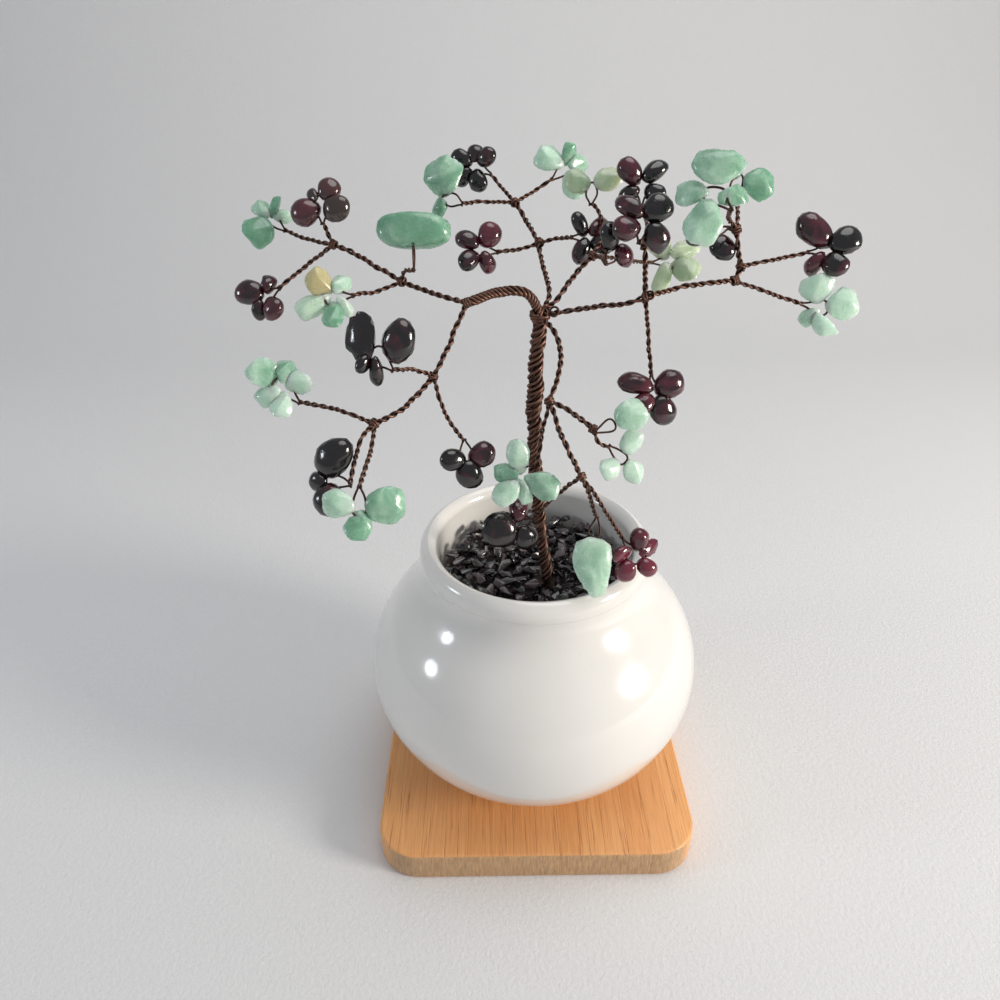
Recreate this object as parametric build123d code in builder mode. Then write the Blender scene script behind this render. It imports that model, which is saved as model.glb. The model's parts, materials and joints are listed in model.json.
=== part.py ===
from build123d import *
import math
import os

os.makedirs("parts", exist_ok=True)

# A wire tree hung with drilled stone chips, rooted in a white bulb pot on a bamboo board.
# Millimetres. The origin is the centre of the board's underside, +Z is up, and -Y is the side
# that the tree is looked at from.

# Board
board_side = 76.0
board_thickness = 8.0
board_corner_radius = 10.0
board_edge_ease = 0.8

# Pot
pot_height = 64.4
belly_radius = 40.0
belly_half_height = 31.3
belly_centre_height = 29.2
pot_wall = 3.6
floor_thickness = 4.5
foot_radius = 19.0
foot_ring_width = 3.6
foot_ring_height = 1.6
drain_radius = 4.0
neck_radius = 25.4
neck_sweep_radius = 31.0
lip_radius = 26.6
lip_height = 5.4
mouth_radius = 22.6

# What fills the pot
gravel_depth = 5.4
gravel_below_lip = 5.5
fill_clearance = 0.05
socket_clearance = 0.15
root_length = 26.0

# Gravel chips
gravel_chip_radius = 2.1
gravel_chip_thickness = 2.2
gravel_gap = 0.2
gravel_tilt = 10.0

# Wire: single, twisted in pairs as twigs, and in thicker bundles nearer the trunk
wire_diameter = 0.4
twig_radius = 0.4
branch_radius = 0.55
bough_radius = 0.95
knot_radius = 1.0
crown_knot_radius = 2.0
wire_sides = 4
knot_corners = 5

# Trunk: strands laid side by side round a core
strand_radius = 0.48
strand_gap = 0.04
strand_count = 5
trunk_pitch = 8.0

# Tree
trunk_height = 58.1
crown_reach = 60.0

# Stones and the loops that they are strung on
chip_length = 5.5
chip_thickness = 3.2
hole_clearance = 0.4
hole_margin = 0.75
loop_radius = 2.0
wedge_share = 0.94
widest_wedge = 66.0
inner_share = 0.75
stem_reach_share = 1.7
view_tilt = 31.6

# Heights that follow from the sizes above
pot_base = board_thickness
pot_top = pot_base + pot_height
soil_height = pot_top - gravel_below_lip
fill_top = soil_height - gravel_depth
crown_base = soil_height + trunk_height

# Radii that follow: neighbouring strands on their helix just miss one another and the core
strand_room = strand_radius + strand_gap / 2
strand_offset = strand_room / math.sqrt(
    math.sin(math.pi / strand_count) ** 2 - (2 * math.pi * strand_room / trunk_pitch) ** 2
)
trunk_radius = strand_offset + strand_radius
core_radius = strand_offset - strand_radius - strand_gap
hole_width = wire_diameter + hole_clearance


def write(part, name):
    """Label one finished piece and write its file."""
    part.label = name
    export_step(part, f"parts/{name}.step")


# Bamboo board: a slab with round corners and eased edges, flat where the pot's foot stands
with BuildPart() as board:
    with BuildSketch(Plane.XY):
        RectangleRounded(board_side, board_side, board_corner_radius)
    extrude(amount=board_thickness)
    flat_faces = board.faces().filter_by(GeomType.PLANE).filter_by(Axis.Z)
    chamfer(flat_faces.edges(), length=board_edge_ease)
write(board.part, "bamboo_board")


def belly_height(radius, side_radius, half_height):
    """Height above the pot's base at which the belly has drawn in to a radius, above its middle."""
    return belly_centre_height + half_height * math.sqrt(1 - (radius / side_radius) ** 2)


def belly_foot_radius(height, side_radius, half_height):
    """Radius of the belly at a height below its middle."""
    return side_radius * math.sqrt(1 - ((belly_centre_height - height) / half_height) ** 2)


# Inside of the pot, as a few straight bands that the plaster fill also follows
inner_radius = belly_radius - pot_wall
inner_half_height = belly_half_height - pot_wall
neck_bore = neck_radius - pot_wall
neck_start = belly_height(neck_bore, inner_radius, inner_half_height)
floor_radius = belly_foot_radius(floor_thickness, inner_radius, inner_half_height)
inner_band_shares = (0.35, 0.78)


def inner_profile(clearance):
    """Points up the inside wall, from the floor to the neck, drawn in by a clearance."""
    points = [(floor_radius - clearance, floor_thickness + clearance)]
    for share in inner_band_shares:
        height = floor_thickness + share * (neck_start - floor_thickness)
        level = (height - belly_centre_height) / inner_half_height
        lift = math.copysign(clearance, belly_centre_height - height)
        points.append((inner_radius * math.sqrt(1 - level**2) - clearance, height + lift))
    points.append((neck_bore - clearance, neck_start - clearance))
    return points


# Ceramic pot: one turned shell with a foot ring, a drain hole, a short neck and a rolled lip. Its
# belly and its lip follow ellipses in narrow bands, which keeps the turned shell light.
belly_start_turn = math.asin((foot_ring_height - belly_centre_height) / belly_half_height)
belly_end_turn = math.acos(neck_sweep_radius / belly_radius)
belly_bands = 13
neck_bands = 4
lip_bands = 6
lip_foot = pot_height - lip_height
lip_side_share = 0.55
lip_side = lip_foot + lip_side_share * lip_height
lip_crest_radius = (lip_radius + mouth_radius) / 2
lip_half_width = (lip_radius - mouth_radius) / 2
foot_inner = foot_radius - foot_ring_width
pot_section = Plane(origin=(0, 0, pot_base), x_dir=(1, 0, 0), z_dir=(0, -1, 0))


def ellipse_points(centre, reach, turns, bands):
    """Points along an ellipse's edge, from one turn about its centre to another."""
    points = []
    for band in range(bands + 1):
        turn = turns[0] + (turns[1] - turns[0]) * band / bands
        points.append((centre[0] + reach[0] * math.cos(turn), centre[1] + reach[1] * math.sin(turn)))
    return points


def sweep_points(start, corner, end, bands):
    """Points along the soft curve that runs into a corner and out of it, after its start."""
    points = []
    for band in range(1, bands + 1):
        share = band / bands
        weights = ((1 - share) ** 2, 2 * share * (1 - share), share**2)
        out = weights[0] * start[0] + weights[1] * corner[0] + weights[2] * end[0]
        up = weights[0] * start[1] + weights[1] * corner[1] + weights[2] * end[1]
        points.append((out, up))
    return points


belly_points = ellipse_points(
    (0, belly_centre_height),
    (belly_radius, belly_half_height),
    (belly_start_turn, belly_end_turn),
    belly_bands,
)
belly_slope = belly_half_height / belly_radius / math.tan(belly_end_turn)
neck_corner_height = min(
    belly_points[-1][1] + (neck_sweep_radius - neck_radius) * belly_slope, lip_foot
)
neck_points = sweep_points(
    belly_points[-1],
    (neck_radius, neck_corner_height),
    (neck_radius, lip_foot),
    neck_bands,
)
lip_points = ellipse_points(
    (lip_crest_radius, lip_side),
    (lip_half_width, pot_height - lip_side),
    (0, math.pi),
    lip_bands,
)

with BuildPart() as pot:
    with BuildSketch(pot_section):
        with BuildLine():
            Polyline(
                (drain_radius, floor_thickness),
                (drain_radius, foot_ring_height),
                (foot_inner, foot_ring_height),
                (foot_inner, 0),
                (foot_radius, 0),
                *belly_points,
                *neck_points,
                *lip_points,
                *reversed(inner_profile(0)),
                close=True,
            )
        make_face()
    revolve(axis=Axis.Z)
write(pot.part, "ceramic_pot")

# Plaster fill: cast inside the pot up to the gravel, with a socket that grips the trunk's root
trunk_foot = (2.5, -7.0)
socket_radius = trunk_radius + socket_clearance
socket_floor = soil_height - root_length

with BuildPart() as fill:
    with BuildSketch(pot_section):
        with BuildLine():
            Polyline(
                (0, floor_thickness + fill_clearance),
                *inner_profile(fill_clearance),
                (neck_bore - fill_clearance, fill_top - pot_base),
                (0, fill_top - pot_base),
                close=True,
            )
        make_face()
    revolve(axis=Axis.Z)
    with BuildSketch(Plane.XY.offset(socket_floor)):
        with Locations(trunk_foot):
            Circle(socket_radius)
    extrude(amount=root_length, mode=Mode.SUBTRACT)
write(fill.part, "plaster_fill")


def flat_stone(plane, points):
    """A broken chip: the convex solid of a few corner points, laid on a plane."""
    with BuildPart() as stone:
        with Locations(plane):
            ConvexPolyhedron(points)
    return stone.part


# Gravel: flat broken chips in two layers on the fill, kept clear of the trunk
gravel_corner_shares = (
    (0.95, 0.2, -0.8),
    (0.35, 0.9, 0.4),
    (-0.6, 0.75, -0.9),
    (-0.95, -0.2, 0.6),
    (-0.3, -0.95, -0.9),
    (0.6, -0.75, 0.7),
    (0.0, 0.1, 1.0),
)
gravel_turn_step = 137.5
lower_ring_turn = 47.0
upper_ring_turn = 31.0
gravel_spacing = 2 * gravel_chip_radius + gravel_gap
gravel_tip_rise = gravel_chip_radius * math.sin(math.radians(gravel_tilt))
gravel_layer_rise = gravel_chip_thickness + gravel_tip_rise
gravel_first = fill_top + gravel_chip_thickness / 2 + gravel_tip_rise


def gravel_ring(radius, height, turn):
    """Chips evenly round one circle, each turned and tipped its own way."""
    count = max(1, int(2 * math.pi * radius / gravel_spacing))
    chips = []
    for index in range(count):
        angle = math.radians(turn + 360 * index / count)
        x = radius * math.cos(angle)
        y = radius * math.sin(angle)
        trunk_gap = math.hypot(x - trunk_foot[0], y - trunk_foot[1])
        if trunk_gap < gravel_chip_radius + trunk_radius + gravel_gap:
            continue
        spin = gravel_turn_step * (index + 1) + turn
        tip = gravel_tilt * math.sin(math.radians(spin))
        plane = Plane(Location((x, y, height), (tip, gravel_tilt - abs(tip), spin)))
        points = [
            (a * gravel_chip_radius, b * gravel_chip_radius, c * gravel_chip_thickness / 2)
            for a, b, c in gravel_corner_shares
        ]
        chips.append(flat_stone(plane, points))
    return chips


gravel_reach = neck_bore - gravel_chip_radius - gravel_gap
ring_count = int(gravel_reach / gravel_spacing)
ring_step = gravel_reach / ring_count
gravel_chips = []
for ring in range(ring_count + 1):
    gravel_chips += gravel_ring(ring * ring_step, gravel_first, lower_ring_turn * ring)
gravel_second = gravel_first + gravel_layer_rise
for ring in range(ring_count):
    between = (ring + 0.5) * ring_step
    gravel_chips += gravel_ring(between, gravel_second, upper_ring_turn * ring)
write(Compound(children=gravel_chips), "gravel_chips")


# Places in the crown, as shares of its reach, measured from the top of the trunk
def crown_place(x_share, y_share, z_share):
    return Vector(crown_reach * x_share, crown_reach * y_share, crown_base + crown_reach * z_share)


# Places on the low front branch, as shares of the mouth's radius and of the trunk's height
def front_place(x_share, y_share, z_share):
    return Vector(mouth_radius * x_share, mouth_radius * y_share, soil_height + trunk_height * z_share)


def wire(points, radius):
    """A stiff wire or twisted bundle along straight runs, with mitred bends."""
    with BuildPart() as run:
        with BuildLine() as path:
            Polyline(*points)
        with BuildSketch(Plane(origin=points[0], z_dir=points[1] - points[0])):
            RegularPolygon(radius, wire_sides)
        sweep(path=path.line, transition=Transition.RIGHT)
    return run.part


knot_ring_shares = ((-1.0, 0.7), (0.0, 1.0), (1.0, 0.7))


def knot(centre, along, radius):
    """The lump of turns where wires part, a short faceted barrel."""
    points = []
    for level, (along_share, girth_share) in enumerate(knot_ring_shares):
        for corner in range(knot_corners):
            angle = math.radians(360 * (corner + 0.5 * level) / knot_corners)
            across = radius * girth_share * math.cos(angle)
            up = radius * girth_share * math.sin(angle)
            points.append((across, up, radius * along_share))
    return flat_stone(Plane(origin=centre, z_dir=along), points)


def boxes_meet(first, second):
    """Whether two upright boxes share any space."""
    apart_x = first.max.X < second.min.X or second.max.X < first.min.X
    apart_y = first.max.Y < second.min.Y or second.max.Y < first.min.Y
    apart_z = first.max.Z < second.min.Z or second.max.Z < first.min.Z
    return not (apart_x or apart_y or apart_z)


def trimmed(solid, cutters):
    """A wire cut back to where it leaves the knots and wires that were laid before it."""
    box = solid.bounding_box()
    near = [cutter for cutter in cutters if boxes_meet(box, cutter.bounding_box())]
    if not near:
        return solid
    with BuildPart() as rest:
        add(solid)
        add(near, mode=Mode.SUBTRACT)
    return rest.part.solids().sort_by(SortBy.VOLUME)[-1]


# Trunk: strands laid round a core above the gravel, and running straight down into the fill
trunk_foot_place = Vector(trunk_foot[0], trunk_foot[1], soil_height)
crown_centre = crown_place(0.0, -0.05, 0.0)
trunk_sway_share = -0.02
root_end = socket_floor + socket_clearance


def trunk_axis(rise):
    """Centre of the trunk, from 0 at the gravel to 1 at the crown, leaning and a little bowed."""
    straight = trunk_foot_place + (crown_centre - trunk_foot_place) * rise
    bow = crown_reach * trunk_sway_share * math.sin(math.pi * rise)
    return straight + Vector(bow, 0, 0)


trunk_reach = trunk_height - crown_knot_radius / 2
trunk_steps = round(trunk_reach / trunk_pitch * strand_count)


def strand_points(turn):
    """Places along one strand: its straight root, then a steady helix up the trunk."""
    points = []
    for step in range(trunk_steps + 1):
        angle = math.radians(turn + 360 * step / strand_count)
        side = Vector(strand_offset * math.cos(angle), strand_offset * math.sin(angle), 0)
        points.append(trunk_axis(step / trunk_steps * trunk_reach / trunk_height) + side)
    root = Vector(points[0].X, points[0].Y, root_end)
    return [root] + points


core_bends = 4
core_points = [Vector(trunk_foot[0], trunk_foot[1], root_end)]
for bend in range(core_bends + 1):
    core_points.append(trunk_axis(bend / core_bends * trunk_reach / trunk_height))
crown_knot = knot(crown_centre, Vector(0, 0, 1), crown_knot_radius)
trunk_solids = [trimmed(wire(core_points, core_radius), [crown_knot])]
for strand in range(strand_count):
    run = wire(strand_points(360 * strand / strand_count), strand_radius)
    trunk_solids.append(trimmed(run, [crown_knot]))
write(Compound(children=trunk_solids), "trunk_strands")


# Drilled stones. Corner places as shares: along the stone from its inner tip, across it, and
# through its thickness. Garnet is tumbled round, green quartz is broken and angular.
round_corner_shares = (
    (0.0, 0.1, 0.1),
    (0.2, 0.95, -0.1),
    (0.7, 1.0, 0.1),
    (1.0, 0.3, -0.1),
    (0.85, -0.85, 0.1),
    (0.45, -1.0, -0.1),
    (0.12, -0.8, 0.1),
    (0.3, 0.35, 0.95),
    (0.78, 0.3, 0.9),
    (0.5, -0.5, 1.0),
    (0.35, -0.1, -0.95),
    (0.72, 0.25, -1.0),
)
angular_corner_shares = (
    (0.0, 0.2, 0.0),
    (0.12, 0.85, -0.3),
    (0.6, 1.0, 0.3),
    (0.95, 0.7, -0.2),
    (1.0, -0.45, 0.2),
    (0.65, -1.0, -0.3),
    (0.12, -0.8, 0.3),
    (0.3, 0.4, 0.95),
    (0.75, -0.1, 1.0),
    (0.3, -0.2, -0.85),
    (0.75, 0.3, -1.0),
)


def drilled_stone(form, hole_centre, outward, tangent, lean, chord_radius, wedge, size):
    """One chip, drilled along its wire, tip towards the loop's middle, kept to its own wedge."""
    length, width, thickness = size
    radial = outward.rotate(Axis(hole_centre, tangent), lean)
    normal = radial.cross(tangent)
    lean_angle = math.radians(lean)
    slope = math.tan(math.radians(min(wedge, widest_wedge)))
    inner = max(inner_share * chord_radius, hole_margin)
    points = []
    for along_share, across_share, up_share in form:
        along = along_share * length - inner
        up = up_share * thickness / 2
        reach = chord_radius + along * math.cos(lean_angle) + up * math.sin(lean_angle)
        room = wedge_share * max(reach, 0) * slope
        across = math.copysign(min(abs(across_share) * width / 2, room), across_share)
        points.append((along, across, up))
    with BuildPart() as stone:
        with Locations(Plane(origin=hole_centre, x_dir=radial, z_dir=normal)):
            ConvexPolyhedron(points)
        with BuildSketch(Plane(origin=hole_centre, x_dir=normal, z_dir=tangent)):
            Rectangle(hole_width, hole_width)
        extrude(amount=length, both=True, mode=Mode.SUBTRACT)
    return stone.part.solids().sort_by(SortBy.VOLUME)[-1]


# Stone clusters. Each row: form of stone, middle of the loop in shares of the crown, loop size
# share, stem direction and half gap in degrees, turn and tip of the loop's face in degrees, and
# the stones in order round the loop: span, length, width and thickness shares, and lean.
round_stone = round_corner_shares
broken_stone = angular_corner_shares

crown_cluster_shares = {
    "far_left_green_chips": (
        broken_stone, (-0.89, 0.25, 0.24), 0.9, (325, 30), (15, 0),
        (
            (0.7, 0.75, 0.6, 0.6, 25), (0.6, 0.75, 0.6, 0.6, -20),
            (0.9, 0.8, 0.7, 0.7, 20), (1.7, 1.2, 1.2, 0.8, -10),
        ),
    ),
    "upper_left_garnets": (
        round_stone, (-0.70, 0.18, 0.30), 1.0, (272, 28), (-10, 10),
        (
            (1.0, 1.05, 0.95, 1.0, -15), (1.0, 0.95, 0.85, 0.9, 20),
            (0.6, 0.7, 0.55, 0.8, 35), (1.0, 1.1, 1.0, 1.0, -10),
        ),
    ),
    "left_garnets": (
        round_stone, (-0.90, 0.07, 0.03), 1.0, (25, 28), (-20, 0),
        (
            (0.7, 0.85, 0.6, 0.9, 30), (1.2, 1.1, 0.95, 1.0, -10),
            (0.7, 0.75, 0.65, 0.8, 25), (1.1, 1.0, 0.95, 1.0, -15),
        ),
    ),
    "left_quartz_chips": (
        broken_stone, (-0.64, -0.10, 0.08), 1.0, (10, 25), (10, -10),
        ((0.8, 0.95, 0.8, 0.7, 20), (1.0, 1.05, 0.8, 0.8, -15), (1.0, 1.2, 0.95, 0.7, 10),
         (0.8, 1.15, 0.7, 0.7, -20), (0.6, 0.75, 0.6, 0.6, 30)),
    ),
    "middle_left_garnets": (
        round_stone, (-0.49, -0.30, -0.03), 1.1, (315, 25), (0, 10),
        (
            (1.1, 1.5, 1.2, 1.1, -10), (1.4, 1.3, 1.4, 1.1, 10),
            (0.6, 0.8, 0.65, 0.8, -25), (0.6, 0.9, 0.65, 0.8, 25),
        ),
    ),
    "lower_left_green_chips": (
        broken_stone, (-0.78, -0.30, -0.13), 1.1, (317, 20), (10, 0),
        ((1.1, 0.95, 0.8, 0.7, -20), (0.9, 0.9, 0.75, 0.7, 20), (1.0, 1.15, 0.95, 0.7, -10),
         (0.9, 0.9, 0.75, 0.6, 25), (0.9, 0.95, 0.8, 0.7, -20)),
    ),
    "low_left_garnets": (
        round_stone, (-0.63, -0.48, -0.345), 1.1, (345, 28), (-15, 0),
        ((1.3, 1.3, 1.3, 1.1, -10), (0.7, 0.8, 0.7, 0.9, 20), (1.0, 1.15, 1.05, 1.0, -10)),
    ),
    "low_left_green_chips": (
        broken_stone, (-0.53, -0.60, -0.37), 1.0, (90, 30), (10, 10),
        ((1.0, 1.1, 0.9, 0.8, 15), (0.9, 0.95, 0.85, 0.7, -20), (1.2, 1.3, 1.2, 0.8, 5)),
    ),
    "inner_left_garnets": (
        round_stone, (-0.24, -0.22, -0.42), 1.0, (100, 40), (15, 0),
        ((1.0, 1.0, 0.85, 0.9, -15), (1.0, 1.05, 0.95, 1.0, 15), (1.0, 1.0, 0.9, 0.9, -10)),
    ),
    "back_top_garnets": (
        round_stone, (-0.21, 0.53, 0.36), 1.1, (335, 18), (-15, 15),
        ((0.9, 0.95, 0.8, 0.9, -20), (0.9, 0.8, 0.65, 0.8, 25), (0.9, 0.9, 0.7, 0.9, -15),
         (0.9, 0.95, 0.7, 0.9, 20), (1.0, 0.95, 0.8, 0.9, -15)),
    ),
    "upper_green_chip_pair": (
        broken_stone, (-0.30, 0.32, 0.29), 1.0, (335, 60), (-20, 0),
        ((1.1, 1.45, 1.5, 0.9, -5), (1.0, 0.75, 0.65, 0.6, 20)),
    ),
    "upper_middle_garnets": (
        round_stone, (-0.19, 0.18, 0.15), 1.0, (0, 22), (20, 0),
        (
            (1.0, 1.05, 0.85, 1.0, -15), (1.0, 0.95, 0.75, 0.9, 20),
            (1.0, 1.05, 0.8, 0.9, -15), (0.9, 0.85, 0.7, 0.8, 20),
        ),
    ),
    "top_green_chips": (
        broken_stone, (0.11, 0.47, 0.36), 1.0, (220, 25), (10, 10),
        (
            (1.3, 1.15, 1.0, 0.7, -10), (0.8, 0.95, 0.8, 0.7, 25),
            (0.7, 0.85, 0.6, 0.6, -25), (1.1, 1.15, 1.1, 0.8, 10),
        ),
    ),
    "pale_top_chips": (
        broken_stone, (0.18, 0.25, 0.33), 0.9, (268, 55), (-20, 0),
        ((1.0, 1.1, 0.9, 0.7, 15), (1.0, 1.0, 0.85, 0.7, -20)),
    ),
    "crown_middle_garnets": (
        round_stone, (0.17, 0.17, 0.19), 1.0, (185, 22), (10, -10),
        (
            (0.9, 0.95, 0.6, 0.8, 25), (1.0, 0.9, 0.75, 0.9, -15),
            (1.1, 1.05, 0.85, 0.9, 15), (0.8, 1.0, 0.6, 0.8, -25),
        ),
    ),
    "front_crown_garnet_pair": (
        round_stone, (0.22, -0.06, 0.20), 0.9, (235, 60), (30, 0),
        ((1.0, 0.9, 0.75, 0.9, 15), (1.0, 0.95, 0.8, 0.9, -15)),
    ),
    "high_right_garnets": (
        round_stone, (0.33, 0.17, 0.35), 1.0, (270, 20), (-10, 10),
        (
            (0.9, 0.9, 0.7, 0.9, -20), (1.1, 1.0, 0.85, 0.9, 15),
            (1.1, 1.05, 0.8, 0.9, -15), (0.9, 0.85, 0.65, 0.8, 20),
        ),
    ),
    "right_crown_garnets": (
        round_stone, (0.29, -0.10, 0.29), 1.0, (262, 22), (10, 0),
        (
            (1.0, 1.1, 1.0, 1.0, 15), (1.0, 1.1, 0.95, 1.0, -15),
            (1.0, 1.05, 0.9, 0.9, 20), (1.0, 1.05, 0.85, 1.0, -10),
        ),
    ),
    "high_right_green_chips": (
        broken_stone, (0.47, -0.18, 0.38), 1.1, (315, 18), (-10, 0),
        (
            (0.7, 1.05, 0.65, 0.6, 25), (1.5, 1.4, 1.6, 0.9, -10),
            (0.9, 1.2, 0.95, 0.7, 20), (1.3, 1.6, 1.2, 0.8, -10),
        ),
    ),
    "far_right_green_pair": (
        broken_stone, (0.66, 0.23, 0.35), 1.0, (230, 50), (15, 0),
        ((1.1, 1.3, 1.15, 0.8, -10), (0.9, 0.85, 0.7, 0.6, 20)),
    ),
    "inner_right_garnets": (
        round_stone, (0.55, 0.07, 0.22), 0.9, (22, 25), (0, 0),
        ((0.8, 0.7, 0.55, 0.8, -20), (1.0, 0.9, 0.65, 0.9, 20), (1.1, 1.1, 0.8, 0.8, -10)),
    ),
    "pale_back_chips": (
        broken_stone, (0.51, 0.45, 0.04), 1.1, (178, 22), (-15, -10),
        (
            (1.0, 1.2, 0.95, 0.8, 15), (1.0, 1.3, 1.0, 0.8, -15),
            (1.0, 1.25, 0.95, 0.7, 20), (1.0, 1.3, 1.0, 0.8, -10),
        ),
    ),
    "far_right_garnets": (
        round_stone, (0.92, 0.05, 0.17), 1.0, (180, 15), (-20, 0),
        (
            (0.6, 0.95, 0.7, 0.8, 25), (1.0, 1.0, 0.9, 0.9, -15),
            (1.2, 1.1, 1.0, 1.0, 10), (1.0, 1.35, 1.25, 1.1, -5),
        ),
    ),
    "right_green_chips": (
        broken_stone, (0.90, -0.03, 0.01), 1.0, (165, 18), (-15, 0),
        (
            (0.7, 0.75, 0.6, 0.6, 25), (0.9, 1.05, 0.85, 0.7, -20),
            (1.2, 1.2, 1.15, 0.8, 10), (1.1, 1.05, 1.2, 0.7, -15),
        ),
    ),
    "middle_right_garnets": (
        round_stone, (0.37, -0.14, -0.235), 1.0, (100, 20), (15, 0),
        (
            (0.8, 1.3, 0.8, 0.9, 20), (0.9, 1.05, 0.9, 0.9, -20),
            (1.1, 1.2, 1.0, 1.0, 10), (1.2, 1.1, 1.0, 1.0, -15),
        ),
    ),
}

# The low front branch: places in shares of the pot's mouth and of the trunk's height
front_cluster_shares = {
    "front_green_chips": (
        broken_stone, (0.66, -0.84, 0.615), 0.9, (140, 28), (15, 0),
        ((1.0, 1.0, 0.85, 0.7, -15), (1.0, 1.15, 0.8, 0.7, 15), (1.1, 1.05, 0.9, 0.7, -20)),
    ),
    "trunk_green_chips": (
        broken_stone, (-0.17, -0.80, 0.54), 1.1, (35, 22), (-10, 0),
        ((1.1, 1.2, 0.8, 0.7, -10), (0.8, 1.0, 0.7, 0.6, 20), (0.8, 1.2, 0.85, 0.7, -15),
         (0.6, 0.9, 0.65, 0.6, 20), (1.0, 1.3, 1.0, 0.8, -5)),
    ),
    "low_front_garnets": (
        round_stone, (-0.20, -0.66, 0.31), 1.0, (20, 20), (10, 0),
        ((0.9, 1.0, 0.75, 0.9, 20), (1.4, 1.35, 1.4, 1.1, -5), (1.1, 1.0, 0.9, 0.9, 15)),
    ),
    "lip_garnets": (
        round_stone, (0.86, -0.84, 0.225), 1.1, (130, 18), (15, 0),
        ((0.8, 1.0, 0.8, 0.9, -20), (1.0, 1.05, 0.85, 0.9, 15), (1.0, 1.0, 0.8, 0.9, -15),
         (0.8, 1.15, 0.7, 0.8, 20), (0.9, 1.0, 0.8, 0.9, -15)),
    ),
}

# Stones that hang loose on their own loop and swing about it
loose_shares = {
    "long_green_stone": (
        broken_stone, crown_place(-0.39, -0.03, 0.20), 1.0, (270, 112), (90, 0),
        ((1.0, 1.25, 1.1, 4.4, 0),),
    ),
    "front_loose_green_stone": (
        broken_stone, front_place(0.56, -0.82, 0.73), 0.9, (205, 112), (0, 0),
        ((1.0, 1.35, 1.35, 0.9, 0),),
    ),
    "hanging_green_stone": (
        broken_stone, front_place(0.47, -0.88, 0.33), 0.9, (80, 112), (0, 0),
        ((1.0, 2.4, 1.7, 0.9, 0),),
    ),
}


class Cluster:
    """A loop of wire on the end of a twig, with its stones strung round it."""

    def __init__(self, name, form, centre, loop_share, stem_row, facing, stones):
        self.name = name
        self.form = form
        self.stones = stones
        stem, self.half_gap = stem_row
        turn, tip = facing
        towards_viewer = Location(centre, (90 - view_tilt, 0, 0))
        self.face = Plane(towards_viewer * Location((0, 0, 0), (tip, turn, 0)))
        self.stem = stem
        self.radius = loop_radius * loop_share
        self.centre = centre
        self.twig_end = self.around(stem, self.radius * stem_reach_share)
        self.corners = self.corner_places()

    def around(self, angle, radius):
        """A place on the loop's face."""
        across = radius * math.cos(math.radians(angle))
        up = radius * math.sin(math.radians(angle))
        return self.face.from_local_coords(Vector(across, up, 0))

    def corner_places(self):
        """The wire's bends, one before each stone and one after the last."""
        total = sum(row[0] for row in self.stones)
        sweep_angle = 360 - 2 * self.half_gap
        angle = self.stem + self.half_gap
        self.wedges = []
        corners = [self.around(angle, self.radius)]
        for row in self.stones:
            span = sweep_angle * row[0] / total
            self.wedges.append(span / 2)
            angle += span
            corners.append(self.around(angle, self.radius))
        return corners

    def loop(self):
        """The bare wire: two legs side by side from the twig, and the bends between the stones."""
        side = self.around(self.stem + 90, wire_diameter / 2) - self.centre
        start = self.twig_end + side
        end = self.twig_end - side
        return wire([start] + self.corners + [end], wire_diameter / 2)

    def chips(self):
        """The stones, each drilled along its own stretch of wire."""
        solids = []
        for index, row in enumerate(self.stones):
            first, second = self.corners[index], self.corners[index + 1]
            middle = (first + second) / 2
            tangent = (second - first).normalized()
            outward = (middle - self.centre).normalized()
            chord_radius = (middle - self.centre).length
            size = (row[1] * chip_length, row[2] * chip_length, row[3] * chip_thickness)
            wedge = self.wedges[index]
            solids.append(
                drilled_stone(self.form, middle, outward, tangent, row[4], chord_radius, wedge, size)
            )
        return solids


clusters = {}
for name, row in crown_cluster_shares.items():
    clusters[name] = Cluster(name, row[0], crown_place(*row[1]), *row[2:])
for name, row in front_cluster_shares.items():
    clusters[name] = Cluster(name, row[0], front_place(*row[1]), *row[2:])
for name, row in loose_shares.items():
    clusters[name] = Cluster(name, *row)

for name, group in clusters.items():
    write(Compound(children=group.chips()), name)

# Where each loose stone swings: the middle of its stretch of wire, and the wire's direction
for name in loose_shares:
    first, second = clusters[name].corners
    print("swing", name, (first + second) / 2, (second - first).normalized())

# Forks, where bundles of wire part: places as shares, and the crown's own at the trunk's top
crown = crown_centre
left = crown_place(-0.23, -0.07, 0.05)
upper_left = crown_place(-0.44, 0.03, 0.09)
outer_left = crown_place(-0.67, 0.15, 0.18)
lower_left = crown_place(-0.34, -0.18, -0.15)
low_left = crown_place(-0.51, -0.35, -0.23)
back = crown_place(0.01, 0.23, 0.16)
back_top = crown_place(-0.07, 0.40, 0.26)
middle = crown_place(0.17, 0.05, 0.16)
right = crown_place(0.32, -0.10, 0.07)
right_up = crown_place(0.32, -0.03, 0.21)
outer_right = crown_place(0.62, 0.0, 0.09)
tip_right = crown_place(0.64, 0.02, 0.13)
top_right = crown_place(0.61, 0.03, 0.24)
front = front_place(0.06, -0.62, 0.78)
front_right = front_place(0.42, -0.79, 0.71)
front_low = front_place(0.32, -0.95, 0.57)


def twig(start, name, *bends):
    """A twisted pair from a fork to the loop of a cluster."""
    return (twig_radius, [start, *bends, clusters[name].twig_end])


def bough(start, end, *bends):
    """A thicker bundle from fork to fork."""
    return (branch_radius, [start, *bends, end])


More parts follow.
